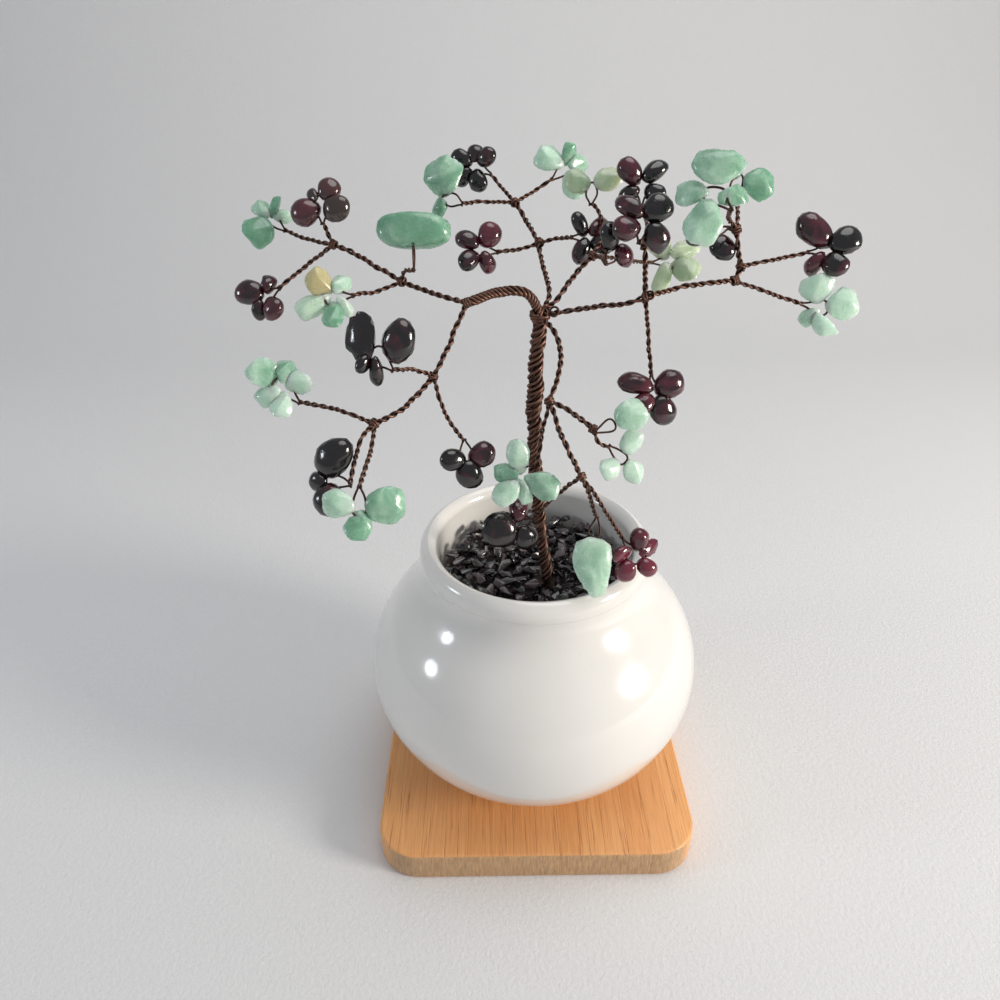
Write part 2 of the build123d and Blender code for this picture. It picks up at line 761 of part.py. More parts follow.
branch_runs = {
    "left_bough_wires": [
        (
            bough_radius,
            [
                crown,
                crown_place(-0.02, -0.05, 0.05),
                crown_place(-0.05, -0.05, 0.08),
                crown_place(-0.11, -0.05, 0.08),
                crown_place(-0.16, -0.06, 0.07),
                left,
            ],
        ),
    ],
    "upper_left_branch_wires": [
        bough(left, upper_left, crown_place(-0.32, -0.03, 0.06), crown_place(-0.40, 0.01, 0.08)),
        bough(upper_left, outer_left, crown_place(-0.51, 0.07, 0.12), crown_place(-0.60, 0.12, 0.16)),
        twig(upper_left, "long_green_stone", crown_place(-0.43, 0.01, 0.13)),
        twig(upper_left, "left_quartz_chips", crown_place(-0.50, 0.0, 0.07)),
        twig(outer_left, "upper_left_garnets", crown_place(-0.69, 0.16, 0.22)),
        twig(outer_left, "far_left_green_chips", crown_place(-0.76, 0.18, 0.19)),
        twig(outer_left, "left_garnets", crown_place(-0.75, 0.13, 0.13)),
    ],
    "lower_left_branch_wires": [
        bough(left, lower_left, crown_place(-0.27, -0.10, -0.03), crown_place(-0.31, -0.15, -0.11)),
        bough(lower_left, low_left, crown_place(-0.39, -0.25, -0.19), crown_place(-0.45, -0.31, -0.22)),
        twig(lower_left, "middle_left_garnets", crown_place(-0.38, -0.22, -0.11)),
        twig(
            lower_left, "inner_left_garnets",
            crown_place(-0.32, -0.20, -0.22),
            crown_place(-0.30, -0.20, -0.29),
        ),
        twig(
            low_left, "lower_left_green_chips",
            crown_place(-0.59, -0.35, -0.19),
            crown_place(-0.65, -0.33, -0.18),
        ),
        twig(low_left, "low_left_garnets", crown_place(-0.55, -0.40, -0.25)),
        twig(low_left, "low_left_green_chips", crown_place(-0.51, -0.43, -0.27)),
    ],
    "back_branch_wires": [
        bough(
            crown, back,
            crown_place(0.04, 0.0, 0.05),
            crown_place(0.02, 0.12, 0.10),
            crown_place(0.01, 0.19, 0.14),
        ),
        bough(back, back_top, crown_place(-0.03, 0.33, 0.21)),
        twig(back, "upper_middle_garnets", crown_place(-0.06, 0.22, 0.14)),
        twig(back, "crown_middle_garnets", crown_place(0.06, 0.21, 0.18)),
        twig(back_top, "upper_green_chip_pair", crown_place(-0.16, 0.37, 0.27)),
        twig(back_top, "back_top_garnets", crown_place(-0.10, 0.44, 0.29)),
        twig(back_top, "top_green_chips", crown_place(-0.02, 0.43, 0.28)),
    ],
    "middle_branch_wires": [
        bough(crown, middle, crown_place(0.06, -0.01, 0.04), crown_place(0.10, 0.03, 0.09)),
        twig(middle, "pale_top_chips", crown_place(0.22, 0.13, 0.22), crown_place(0.20, 0.23, 0.27)),
        twig(middle, "front_crown_garnet_pair", crown_place(0.19, 0.01, 0.17)),
        twig(middle, "pale_back_chips", crown_place(0.24, 0.15, 0.13), crown_place(0.34, 0.28, 0.08)),
    ],
    "right_branch_wires": [
        bough(
            crown, right,
            crown_place(0.08, -0.07, 0.02),
            crown_place(0.19, -0.09, 0.04),
            crown_place(0.27, -0.10, 0.05),
        ),
        bough(right, right_up, crown_place(0.32, -0.06, 0.14)),
        bough(right, outer_right, crown_place(0.39, -0.07, 0.08), crown_place(0.50, -0.03, 0.09)),
        twig(right_up, "high_right_garnets", crown_place(0.34, 0.06, 0.25)),
        twig(right_up, "right_crown_garnets", crown_place(0.31, -0.05, 0.23)),
        twig(right, "middle_right_garnets", crown_place(0.33, -0.14, -0.02)),
    ],
    "right_tip_wires": [
        bough(outer_right, tip_right),
        bough(tip_right, top_right, crown_place(0.62, 0.03, 0.20)),
        twig(tip_right, "far_right_garnets", crown_place(0.73, 0.04, 0.14)),
        twig(outer_right, "right_green_chips", crown_place(0.71, -0.01, 0.06)),
        twig(top_right, "inner_right_garnets"),
        twig(top_right, "high_right_green_chips", crown_place(0.57, 0.0, 0.28)),
        twig(top_right, "far_right_green_pair", crown_place(0.63, 0.10, 0.30)),
    ],
    "front_branch_wires": [
        bough(
            crown, front,
            front_place(0.13, -0.33, 0.97),
            front_place(0.17, -0.48, 0.90),
            front_place(0.12, -0.57, 0.83),
        ),
        bough(front, front_low, front_place(0.16, -0.75, 0.68), front_place(0.25, -0.88, 0.62)),
        bough(front, front_right, front_place(0.23, -0.70, 0.76)),
        twig(front_right, "front_loose_green_stone"),
        twig(front_right, "front_green_chips", front_place(0.45, -0.80, 0.66)),
        twig(front, "trunk_green_chips", front_place(0.0, -0.70, 0.67)),
        twig(
            front_low, "low_front_garnets",
            front_place(0.19, -0.88, 0.51),
            front_place(0.05, -0.75, 0.42),
        ),
        twig(front_low, "hanging_green_stone", front_place(0.40, -0.96, 0.50)),
        twig(front_low, "lip_garnets", front_place(0.50, -0.95, 0.47)),
    ],
}

# Knots sit on their forks, in line with the bundle that arrives there
branch_knots = {
    "left_bough_wires": [(left, crown_place(-0.16, -0.06, 0.07))],
    "upper_left_branch_wires": [(upper_left, left), (outer_left, upper_left)],
    "lower_left_branch_wires": [(lower_left, left), (low_left, lower_left)],
    "back_branch_wires": [(back, crown), (back_top, back)],
    "middle_branch_wires": [(middle, crown)],
    "right_branch_wires": [(right, crown), (right_up, right), (outer_right, right)],
    "right_tip_wires": [(tip_right, outer_right), (top_right, tip_right)],
    "front_branch_wires": [(front, crown), (front_right, front), (front_low, front)],
}

write(crown_knot, "crown_knot")
laid = [crown_knot]
knots = {}
for name, rows in branch_knots.items():
    knots[name] = [knot(place, place - before, knot_radius) for place, before in rows]
    laid += knots[name]

for name, runs in branch_runs.items():
    solids = list(knots[name])
    for radius, points in runs:
        run = trimmed(wire(points, radius), laid)
        solids.append(run)
        laid.append(run)
    for radius, points in runs:
        for group in clusters.values():
            if points[-1] == group.twig_end:
                solids.append(trimmed(group.loop(), laid))
    write(Compound(children=solids), name)
    print(name, len(solids), all(solid.is_valid for solid in solids))
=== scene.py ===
# %% [markdown]
# # A wire tree hung with stone chips
#
# The real object is a small ornament. A tree is twisted from antique copper wire, drilled chips of
# garnet and green quartz are strung on loops at the ends of its twigs, and its trunk stands in a
# white glazed pot of dark gravel, on a bamboo board. The CAD model gives every place and size. This
# file gives each piece the form and the finish that show up close.

# %% Load the frame
import json
import math
import random

import bmesh
import bpy
import numpy as np
from mathutils import Matrix, Vector, noise

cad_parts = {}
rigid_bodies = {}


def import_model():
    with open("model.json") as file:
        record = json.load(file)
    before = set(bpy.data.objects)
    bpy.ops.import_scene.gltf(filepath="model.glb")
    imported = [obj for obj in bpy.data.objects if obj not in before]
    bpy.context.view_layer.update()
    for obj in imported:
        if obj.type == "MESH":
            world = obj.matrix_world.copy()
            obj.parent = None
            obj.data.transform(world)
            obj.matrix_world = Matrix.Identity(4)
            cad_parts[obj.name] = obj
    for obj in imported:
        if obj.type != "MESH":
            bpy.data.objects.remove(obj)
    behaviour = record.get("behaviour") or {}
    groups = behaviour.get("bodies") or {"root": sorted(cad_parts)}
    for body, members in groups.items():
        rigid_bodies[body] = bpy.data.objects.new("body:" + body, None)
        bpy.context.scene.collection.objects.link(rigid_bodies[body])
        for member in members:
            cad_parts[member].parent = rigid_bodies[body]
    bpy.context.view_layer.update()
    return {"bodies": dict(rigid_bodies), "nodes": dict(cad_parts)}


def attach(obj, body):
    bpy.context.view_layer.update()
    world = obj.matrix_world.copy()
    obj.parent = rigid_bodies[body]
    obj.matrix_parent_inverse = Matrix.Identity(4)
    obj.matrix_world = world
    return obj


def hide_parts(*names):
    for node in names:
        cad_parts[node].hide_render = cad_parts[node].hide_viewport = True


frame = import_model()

MM = 0.001

# %% [markdown]
# ## Camera
#
# A photograph can be matched only from where it was taken. The board's four edges, the round mouth
# of the pot and the upright trunk gave the camera's height, tilt and focal length. It stands close
# and looks down about thirty degrees, so near twigs look larger than far ones. The three directions
# of the view make the columns of its matrix, which is plainer than three angles in the right order.

# %% Camera at the photograph's place
picture_width = 1000
focal_pixels = 760.84
sensor_width = 36.0
look_down = math.radians(31.58)
look_right = math.radians(0.24)
camera_roll = math.radians(-0.54)
eye = Vector((-8.567, -145.143, 171.133)) * MM

forward = Vector((
    math.sin(look_right) * math.cos(look_down),
    math.cos(look_right) * math.cos(look_down),
    -math.sin(look_down),
))
level = Vector((math.cos(look_right), -math.sin(look_right), 0))
upward = level.cross(forward)
rolled_right = level * math.cos(camera_roll) + upward * math.sin(camera_roll)
rolled_up = upward * math.cos(camera_roll) - level * math.sin(camera_roll)

camera_data = bpy.data.cameras.new("camera")
camera_data.sensor_width = sensor_width
camera_data.lens = focal_pixels / picture_width * sensor_width
camera_data.clip_start = 0.01
camera = bpy.data.objects.new("camera", camera_data)
bpy.context.collection.objects.link(camera)
turn = Matrix((rolled_right, rolled_up, -forward)).transposed()
camera.matrix_world = Matrix.Translation(eye) @ turn.to_4x4()
bpy.context.scene.camera = camera
bpy.context.scene.view_settings.view_transform = "Standard"
print("Lens:", round(camera_data.lens, 2), "mm")

# %% [markdown]
# ## Shader helpers
#
# A material is a small network of nodes. Wiring one by hand repeats the same few steps, so these
# helpers add a node, fill its sockets with values or links, and give back the socket that matters.
# Every pattern uses the Object coordinates. Those are metres in the model's own frame, so a grain of
# half a millimetre is the same size on every piece and stays with the piece when it moves.

# %% Helpers for nodes
def fill(node, values):
    """Set or link a node's sockets, given by name or by index."""
    for key, value in values.items():
        socket = node.inputs[key]
        if isinstance(value, bpy.types.NodeSocket):
            socket.node.id_data.links.new(value, socket)
        else:
            socket.default_value = value


def calculate(tree, operation, first, second=0.0):
    """One sum on two values."""
    node = tree.nodes.new("ShaderNodeMath")
    node.operation = operation
    fill(node, {0: first, 1: second})
    return node.outputs[0]


def blend_colours(tree, share, first, second):
    """One colour turned into another by a share from 0 to 1."""
    node = tree.nodes.new("ShaderNodeMix")
    node.data_type = "RGBA"
    fill(node, {0: share, 6: first, 7: second})
    return node.outputs[2]


def remap(tree, value, from_low, from_high, to_low=0.0, to_high=1.0):
    """A value stretched from one range to another, and held inside it."""
    node = tree.nodes.new("ShaderNodeMapRange")
    fill(node, {0: value, 1: from_low, 2: from_high, 3: to_low, 4: to_high})
    return node.outputs[0]


def object_place(tree, stretch=(1.0, 1.0, 1.0)):
    """The surface's place in the model's frame, stretched along its axes."""
    place = tree.nodes.new("ShaderNodeTexCoord").outputs["Object"]
    node = tree.nodes.new("ShaderNodeMapping")
    fill(node, {"Vector": place, "Scale": stretch})
    return node.outputs[0]


def soft_noise(tree, place, scale, detail=3.0, roughness=0.5, warp=0.0):
    """Cloudy noise from 0 to 1."""
    node = tree.nodes.new("ShaderNodeTexNoise")
    fill(node, {"Vector": place, "Scale": scale, "Detail": detail})
    fill(node, {"Roughness": roughness, "Distortion": warp})
    return node.outputs["Fac"]


def colour(red, green, blue):
    """A colour as the screen shows it, 0 to 255, turned into the light values that shaders use."""
    steps = (value / 255 for value in (red, green, blue))
    light = [s / 12.92 if s <= 0.04045 else ((s + 0.055) / 1.055) ** 2.4 for s in steps]
    return (*light, 1.0)


def open_group(name, inputs, outputs):
    """An empty node group with named sockets, and its two ends."""
    tree = bpy.data.node_groups.new(name, "ShaderNodeTree")
    for label, kind, value in inputs:
        socket = tree.interface.new_socket(label, in_out="INPUT", socket_type=kind)
        socket.default_value = value
    for label, kind in outputs:
        tree.interface.new_socket(label, in_out="OUTPUT", socket_type=kind)
    ends = tree.nodes.new("NodeGroupInput"), tree.nodes.new("NodeGroupOutput")
    return tree, ends[0].outputs, ends[1]


def place_group(tree, group, values):
    """The shared group, placed in a material with this material's own values."""
    node = tree.nodes.new("ShaderNodeGroup")
    node.node_tree = group
    fill(node, values)
    return node.outputs


FLOAT, COLOUR = "NodeSocketFloat", "NodeSocketColor"

# %% [markdown]
# ## Effects that several finishes share
#
# Three effects turn up again and again on this object. Mineral clouds run through the garnet, the
# quartz and the gravel: a slow drift from a deep to a pale colour, crossed by faint healed cracks.
# Each crack follows the line where a second, bent noise crosses its middle value.
# A hand polish is never quite even, so roughness and height wander a little on glaze, stone, wire
# and wood. On the wire, the side that faces out of its bundle is painted lighter, partly as metal
# worn bright by rubbing and partly as a painted sheen, and the side that faces the other wires is
# painted darker, partly as oxide and partly as painted shade. Each is a node group, built once,
# that puts out only colours, values and heights.

# %% Group: mineral clouds
crack_width = 0.014
crack_depth = 0.4
clouds, socket, out = open_group(
    "mineral clouds",
    (
        ("Cloud Scale", FLOAT, 300.0),
        ("Tone", FLOAT, 0.5),
        ("Deep", COLOUR, (0.1, 0.1, 0.1, 1.0)),
        ("Pale", COLOUR, (0.5, 0.5, 0.5, 1.0)),
        ("Crack", COLOUR, (0.8, 0.8, 0.8, 1.0)),
        ("Crack Amount", FLOAT, 0.3),
    ),
    (("Color", COLOUR), ("Mask", FLOAT), ("Height", FLOAT)),
)
place = object_place(clouds)
drift = soft_noise(clouds, place, socket["Cloud Scale"], detail=4.0, roughness=0.6, warp=0.6)
shifted = calculate(clouds, "ADD", drift, calculate(clouds, "SUBTRACT", socket["Tone"], 0.5))
cloud_mask = remap(clouds, shifted, 0.25, 0.75)
body = blend_colours(clouds, cloud_mask, socket["Deep"], socket["Pale"])
crack_scale = calculate(clouds, "MULTIPLY", socket["Cloud Scale"], 0.7)
wander = soft_noise(clouds, place, crack_scale, detail=2.0, warp=1.8)
off_line = calculate(clouds, "ABSOLUTE", calculate(clouds, "SUBTRACT", wander, 0.5))
crack = remap(clouds, off_line, 0.0, crack_width, 1.0, 0.0)
patchy_crack = calculate(clouds, "MULTIPLY", crack, drift)
seen_crack = calculate(clouds, "MULTIPLY", patchy_crack, socket["Crack Amount"])
groove = calculate(clouds, "MULTIPLY", seen_crack, crack_depth)
fill(out, {
    "Color": blend_colours(clouds, seen_crack, body, socket["Crack"]),
    "Mask": cloud_mask,
    "Height": calculate(clouds, "SUBTRACT", drift, groove),
})
print("Group:", clouds.name)

# %% Group: hand polish
polish, socket, out = open_group(
    "hand polish",
    (
        ("Scale", FLOAT, 200.0),
        ("Smoothest", FLOAT, 0.1),
        ("Roughest", FLOAT, 0.3),
    ),
    (("Roughness", FLOAT), ("Height", FLOAT)),
)
place = object_place(polish)
patches = soft_noise(polish, place, socket["Scale"], detail=5.0, roughness=0.65)
wear = remap(polish, patches, 0.3, 0.7)
spread = calculate(polish, "SUBTRACT", socket["Roughest"], socket["Smoothest"])
rough = calculate(polish, "ADD", socket["Smoothest"], calculate(polish, "MULTIPLY", wear, spread))
fill(out, {"Roughness": rough, "Height": patches})
print("Group:", polish.name)

# %% Group: worn spots with painted shade and sheen
worn_spots_and_painted_light, socket, out = open_group(
    "worn spots with painted shade and sheen",
    (
        ("Wear And Sheen", FLOAT, 0.5),
        ("Patch Scale", FLOAT, 400.0),
        ("Patchiness", FLOAT, 0.5),
        ("Oxide And Painted Shade", COLOUR, (0.05, 0.03, 0.02, 1.0)),
        ("High", COLOUR, (0.5, 0.3, 0.2, 1.0)),
    ),
    (("Color", COLOUR), ("Mask", FLOAT)),
)
place = object_place(worn_spots_and_painted_light)
patch = soft_noise(worn_spots_and_painted_light, place, socket["Patch Scale"], detail=4.0, roughness=0.6)
unevenness = calculate(worn_spots_and_painted_light, "SUBTRACT", patch, 0.5)
swing = calculate(worn_spots_and_painted_light, "MULTIPLY", unevenness, socket["Patchiness"])
# Painted light: a high value lightens the colour as worn metal and a painted sheen; a low value darkens
# it as oxide and painted shade.
mask = remap(worn_spots_and_painted_light, calculate(worn_spots_and_painted_light, "ADD", socket["Wear And Sheen"], swing), 0.35, 1.0)
metal = blend_colours(worn_spots_and_painted_light, mask, socket["Oxide And Painted Shade"], socket["High"])
fill(out, {"Color": metal, "Mask": mask})
print("Group:", worn_spots_and_painted_light.name)

# %% [markdown]
# ## Finishes
#
# Each material keeps its own Principled shader. Garnet is nearly black until light gets through it,
# so it is dark, very glossy and lets a little light pass. Green quartz is milky: light scatters
# under its surface, which a small subsurface radius gives. Antique copper is a metal whose brown
# oxide stays in the hollows between the twisted wires; there its colour is also painted shade, and
# on the outer side of each wire a painted sheen. A value called tone is stored on every stone
# and chip, because no two stones of a string are the same colour.

# %% Helpers for materials
def new_material(name, plain):
    """A material with a Principled shader, whose even values are set on the shader itself."""
    material = bpy.data.materials.new(name)
    material.use_nodes = True
    shader = material.node_tree.nodes["Principled BSDF"]
    fill(shader, plain)
    return material, material.node_tree, shader


def stored(tree, name):
    """A value kept on the mesh's points."""
    node = tree.nodes.new("ShaderNodeAttribute")
    node.attribute_name = name
    return node.outputs["Fac"]


def raise_surface(tree, shader, height, depth):
    """Bend the light on the surface, as if the height's range of 0 to 1 were so many metres deep."""
    node = tree.nodes.new("ShaderNodeBump")
    fill(node, {"Height": height, "Distance": depth})
    fill(shader, {"Normal": node.outputs[0]})


# %% Stone finishes
def stone_finish(
    name, deep, pale, warm, crack, crack_amount, cloud_scale, smoothest, roughest, depth, plain,
):
    """A polished stone: mineral clouds for colour and a hand polish for gloss."""
    material, tree, shader = new_material(name, plain)
    mineral = place_group(tree, clouds, {
        "Cloud Scale": cloud_scale,
        "Tone": stored(tree, "tone"),
        "Deep": deep,
        "Pale": pale,
        "Crack": crack,
        "Crack Amount": crack_amount,
    })
    buffed = place_group(tree, polish, {
        "Scale": 2.0 * cloud_scale,
        "Smoothest": smoothest,
        "Roughest": roughest,
    })
    tinted = blend_colours(tree, stored(tree, "warmth"), mineral["Color"], warm)
    fill(shader, {"Base Color": tinted, "Roughness": buffed["Roughness"]})
    ripple = calculate(tree, "MULTIPLY", buffed["Height"], 0.5)
    raise_surface(tree, shader, calculate(tree, "ADD", mineral["Height"], ripple), depth)
    return material


garnet = stone_finish(
    "tumbled garnet",
    deep=colour(14, 8, 9), pale=colour(118, 38, 58), warm=colour(74, 56, 50),
    crack=colour(128, 72, 80), crack_amount=0.2, cloud_scale=330.0,
    smoothest=0.05, roughest=0.2, depth=0.08 * MM,
    plain={"IOR": 1.7, "Transmission Weight": 0.15, "Coat Weight": 0.2, "Coat Roughness": 0.03},
)
green_quartz = stone_finish(
    "green quartz",
    deep=colour(124, 176, 146), pale=colour(212, 242, 220), warm=colour(206, 190, 140),
    crack=colour(232, 244, 234), crack_amount=0.22, cloud_scale=230.0,
    smoothest=0.16, roughest=0.36, depth=0.18 * MM,
    plain={
        "IOR": 1.54,
        "Subsurface Weight": 0.7,
        "Subsurface Radius": (1.0, 1.3, 1.1),
        "Subsurface Scale": 0.002,
        "Transmission Weight": 0.15,
        "Coat Weight": 0.4,
        "Coat Roughness": 0.06,
    },
)
pale_quartz = stone_finish(
    "pale quartz",
    deep=colour(184, 208, 174), pale=colour(234, 240, 212), warm=colour(220, 204, 160),
    crack=colour(240, 242, 230), crack_amount=0.3, cloud_scale=230.0,
    smoothest=0.15, roughest=0.34, depth=0.16 * MM,
    plain={
        "IOR": 1.54,
        "Subsurface Weight": 0.7,
        "Subsurface Radius": (1.2, 1.3, 1.0),
        "Subsurface Scale": 0.002,
        "Transmission Weight": 0.2,
        "Coat Weight": 0.4,
        "Coat Roughness": 0.06,
    },
)
dark_gravel = stone_finish(
    "dark gravel",
    deep=colour(12, 10, 12), pale=colour(70, 56, 62), warm=colour(70, 50, 44),
    crack=colour(120, 110, 114), crack_amount=0.2, cloud_scale=380.0,
    smoothest=0.05, roughest=0.3, depth=0.1 * MM,
    plain={"IOR": 1.65, "Coat Weight": 0.5, "Coat Roughness": 0.04},
)
print("Stone finishes:", garnet.name, green_quartz.name, pale_quartz.name, dark_gravel.name)

# %% Antique copper wire
copper, tree, shader = new_material("antique copper", {"Metallic": 0.9})
# Painted light: dark on the side of each wire that faces the others, as oxide and painted shade, and
# light on the side that faces out, as worn metal and a painted sheen.
oxide_shade_and_sheen = place_group(tree, worn_spots_and_painted_light, {
    "Wear And Sheen": stored(tree, "wear_and_sheen"),
    "Patch Scale": 700.0,
    "Patchiness": 1.1,
    "Oxide And Painted Shade": colour(38, 28, 26),
    "High": colour(122, 90, 77),
})
buffed = place_group(tree, polish, {"Scale": 1500.0, "Smoothest": 0.3, "Roughest": 0.58})
fill(shader, {"Base Color": oxide_shade_and_sheen["Color"], "Roughness": buffed["Roughness"]})
raise_surface(tree, shader, buffed["Height"], 0.04 * MM)
print("Wire finish:", copper.name)

# %% [markdown]
# ### Glaze, bisque and plaster
#
# Poured glaze is smooth as glass but not flat: it runs and pools in slow waves, which only show in
# the reflections. So its height is a very wide, very shallow noise. The foot ring is wiped clean
# before firing and stays bare, fine-grained bisque.

# %% Glaze, bisque and plaster
glassy = {"IOR": 1.5, "Coat Weight": 0.5, "Coat Roughness": 0.03}
glaze, tree, shader = new_material("white glaze", glassy)
pooling = soft_noise(tree, object_place(tree, (1.0, 1.0, 0.5)), 28.0, detail=2.0, roughness=0.4)
speck = soft_noise(tree, object_place(tree), 1800.0, detail=1.0)
pinholes = remap(tree, speck, 0.76, 0.80)
milk = blend_colours(tree, pooling, colour(238, 236, 232), colour(232, 229, 224))
stain = calculate(tree, "MULTIPLY", pinholes, 0.25)
fill(shader, {"Base Color": blend_colours(tree, stain, milk, colour(190, 180, 165))})
buffed = place_group(tree, polish, {"Scale": 120.0, "Smoothest": 0.1, "Roughest": 0.2})
fill(shader, {"Roughness": buffed["Roughness"]})
pits = calculate(tree, "MULTIPLY", pinholes, 0.02)
raise_surface(tree, shader, calculate(tree, "SUBTRACT", pooling, pits), 1.2 * MM)


def grainy_finish(name, dark, light, grain_scale, detail, rub_scale, roughest, depth):
    """A dull, unglazed surface with a fine grain."""
    material, tree, shader = new_material(name, {"IOR": 1.45})
    grain = soft_noise(tree, object_place(tree), grain_scale, detail=detail, roughness=0.7)
    rubbing = place_group(tree, polish, {"Scale": rub_scale, "Smoothest": 0.7, "Roughest": roughest})
    tint = blend_colours(tree, grain, dark, light)
    fill(shader, {"Base Color": tint, "Roughness": rubbing["Roughness"]})
    raise_surface(tree, shader, grain, depth)
    return material


bisque = grainy_finish(
    "bare bisque", colour(206, 190, 166), colour(228, 216, 196),
    grain_scale=2400.0, detail=4.0, rub_scale=900.0, roughest=0.9, depth=0.08 * MM,
)
plaster = grainy_finish(
    "stained plaster", colour(52, 46, 46), colour(96, 88, 84),
    grain_scale=900.0, detail=5.0, rub_scale=500.0, roughest=0.95, depth=0.3 * MM,
)
print("Pot finishes:", glaze.name, bisque.name, plaster.name)

# %% [markdown]
# ### Bamboo
#
# The board is glued up from bamboo strips a few millimetres wide, all running from front to back.
# Along a strip the fibres are long thin streaks, and on the front and back ends they are cut across
# and look greyer. Stretching the coordinates makes both: a noise squeezed fifty times narrower than
# it is long reads as fibre. White noise on the strip's number gives each strip its own tint.

# %% Bamboo finish
bamboo, tree, shader = new_material("bamboo", {"IOR": 1.5, "Coat Weight": 0.12, "Coat Roughness": 0.25})
strip_width = 5.4 * MM
along_x = tree.nodes.new("ShaderNodeSeparateXYZ")
fill(along_x, {0: tree.nodes.new("ShaderNodeTexCoord").outputs["Object"]})
waver = soft_noise(tree, object_place(tree, (1.0, 0.12, 1.0)), 60.0, detail=2.0)
bent_x = calculate(tree, "ADD", along_x.outputs["X"], calculate(tree, "MULTIPLY", waver, 0.8 * MM))
strip = calculate(tree, "FLOOR", calculate(tree, "DIVIDE", bent_x, strip_width))
strip_tint = tree.nodes.new("ShaderNodeTexWhiteNoise")
strip_tint.noise_dimensions = "1D"
fill(strip_tint, {"W": strip})
within = calculate(tree, "FRACT", calculate(tree, "DIVIDE", bent_x, strip_width))
seam = remap(tree, calculate(tree, "ABSOLUTE", calculate(tree, "SUBTRACT", within, 0.5)), 0.475, 0.5)
fibres = soft_noise(tree, object_place(tree, (1.0, 0.016, 0.25)), 3600.0, detail=4.0, roughness=0.7)
streaks = soft_noise(tree, object_place(tree, (1.0, 0.03, 0.3)), 1900.0, detail=3.0, roughness=0.6)
dark_streak = remap(tree, streaks, 0.58, 0.74)
honey = blend_colours(tree, strip_tint.outputs["Value"], colour(240, 176, 112), colour(250, 192, 128))
honey = blend_colours(tree, remap(tree, fibres, 0.3, 0.7, 0.0, 0.75), honey, colour(208, 134, 76))
honey = blend_colours(tree, calculate(tree, "MULTIPLY", dark_streak, 0.8), honey, colour(160, 92, 46))
honey = blend_colours(tree, calculate(tree, "MULTIPLY", seam, 0.3), honey, colour(150, 98, 60))
facing = tree.nodes.new("ShaderNodeSeparateXYZ")
fill(facing, {0: tree.nodes.new("ShaderNodeTexCoord").outputs["Normal"]})
cut_end = remap(tree, calculate(tree, "ABSOLUTE", facing.outputs["Y"]), 0.6, 0.8)
pores = soft_noise(tree, object_place(tree, (1.0, 1.0, 0.12)), 2600.0, detail=3.0, roughness=0.6)
pore_mask = remap(tree, pores, 0.35, 0.65)
end_tint = blend_colours(tree, pore_mask, colour(176, 138, 100), colour(208, 168, 124))
fill(shader, {"Base Color": blend_colours(tree, cut_end, honey, end_tint)})
buffed = place_group(tree, polish, {"Scale": 150.0, "Smoothest": 0.38, "Roughest": 0.52})
fill(shader, {"Roughness": buffed["Roughness"]})
open_lines = calculate(tree, "MULTIPLY", calculate(tree, "ADD", dark_streak, seam), 0.8)
raise_surface(tree, shader, calculate(tree, "SUBTRACT", fibres, open_lines), 0.08 * MM)
print("Board finish:", bamboo.name)

# %% [markdown]
# ## Board
#
# The board is a flat slab with round corners and eased edges. A cube with a bevel would do, but its
# corners and its edges need two different radii. So the slab is laid up as rings: each ring is the
# same rounded square, drawn in a little at the edges, and neighbouring rings are joined by faces.

# %% Helpers for meshes
def new_piece(name, points, faces, material, body):
    """A mesh object that rides on a CAD body."""
    mesh = bpy.data.meshes.new(name)
    mesh.from_pydata([tuple(point) for point in points], [], faces)
    mesh.materials.append(material)
    mesh.validate()
    mesh.polygons.foreach_set("use_smooth", [True] * len(mesh.polygons))
    mesh.update()
    piece = bpy.data.objects.new(name, mesh)
    bpy.context.collection.objects.link(piece)
    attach(piece, body)
    return piece


def join_rings(rings, count):
    """Faces between closed rings of the same number of points, laid one after another."""
    faces = []
    for ring in range(rings - 1):
        for step in range(count):
            following = (step + 1) % count
            low, high = ring * count, (ring + 1) * count
            faces.append((low + step, low + following, high + following, high + step))
    return faces


def keep_value(piece, name, values):
    """Store one value for each point of a piece, for its material to read."""
    layer = piece.data.attributes.new(name, "FLOAT", "POINT")
    layer.data.foreach_set("value", np.asarray(values, dtype=np.float32))


# %% Bamboo board
board_side = 76.0 * MM
board_thickness = 8.0 * MM
board_corner = 10.0 * MM
board_ease = 0.8 * MM
board_crease = math.radians(40)
corner_steps = 12
ease_steps = 5


def rounded_square(side, corner, height):
    """Points round a square with round corners."""
    points = []
    reach = side / 2 - corner
    for quarter in range(4):
        for step in range(corner_steps + 1):
            angle = math.pi / 2 * (quarter + step / corner_steps)
            x = reach * (1 if quarter in (0, 3) else -1) + corner * math.cos(angle)
            y = reach * (1 if quarter in (0, 1) else -1) + corner * math.sin(angle)
            points.append((x, y, height))
    return points


slab = []
for step in range(ease_steps + 1):
    angle = math.pi / 2 * step / ease_steps
    inset = board_ease * (1 - math.sin(angle))
    height = board_ease * (1 - math.cos(angle))
    slab.append(rounded_square(board_side - 2 * inset, board_corner - inset, height))
slab += [[(x, y, board_thickness - z) for x, y, z in ring] for ring in reversed(slab)]
ring_count = 4 * (corner_steps + 1)
faces = join_rings(len(slab), ring_count)
faces.append(tuple(reversed(range(ring_count))))
faces.append(tuple(range((len(slab) - 1) * ring_count, len(slab) * ring_count)))
board = new_piece("planed_bamboo_board", [p for ring in slab for p in ring], faces, bamboo, "board")
board.data.set_sharp_from_angle(angle=board_crease)
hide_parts("bamboo_board")
print("Board points:", len(board.data.vertices))

# %% [markdown]
# ## Pot
#
# The pot was slip-cast or thrown, so it is round, and one outline spun about the upright axis makes
# it. Blender's Screw modifier would spin it too. Writing the rings out keeps the outline in view and
# lets the bare foot ring take a second material. The outline is the CAD pot's: a foot ring round a
# drain hole, an elliptical belly, a soft sweep into a short neck, and a rolled lip. Glaze that has
# pooled under the lip rounds its foot.

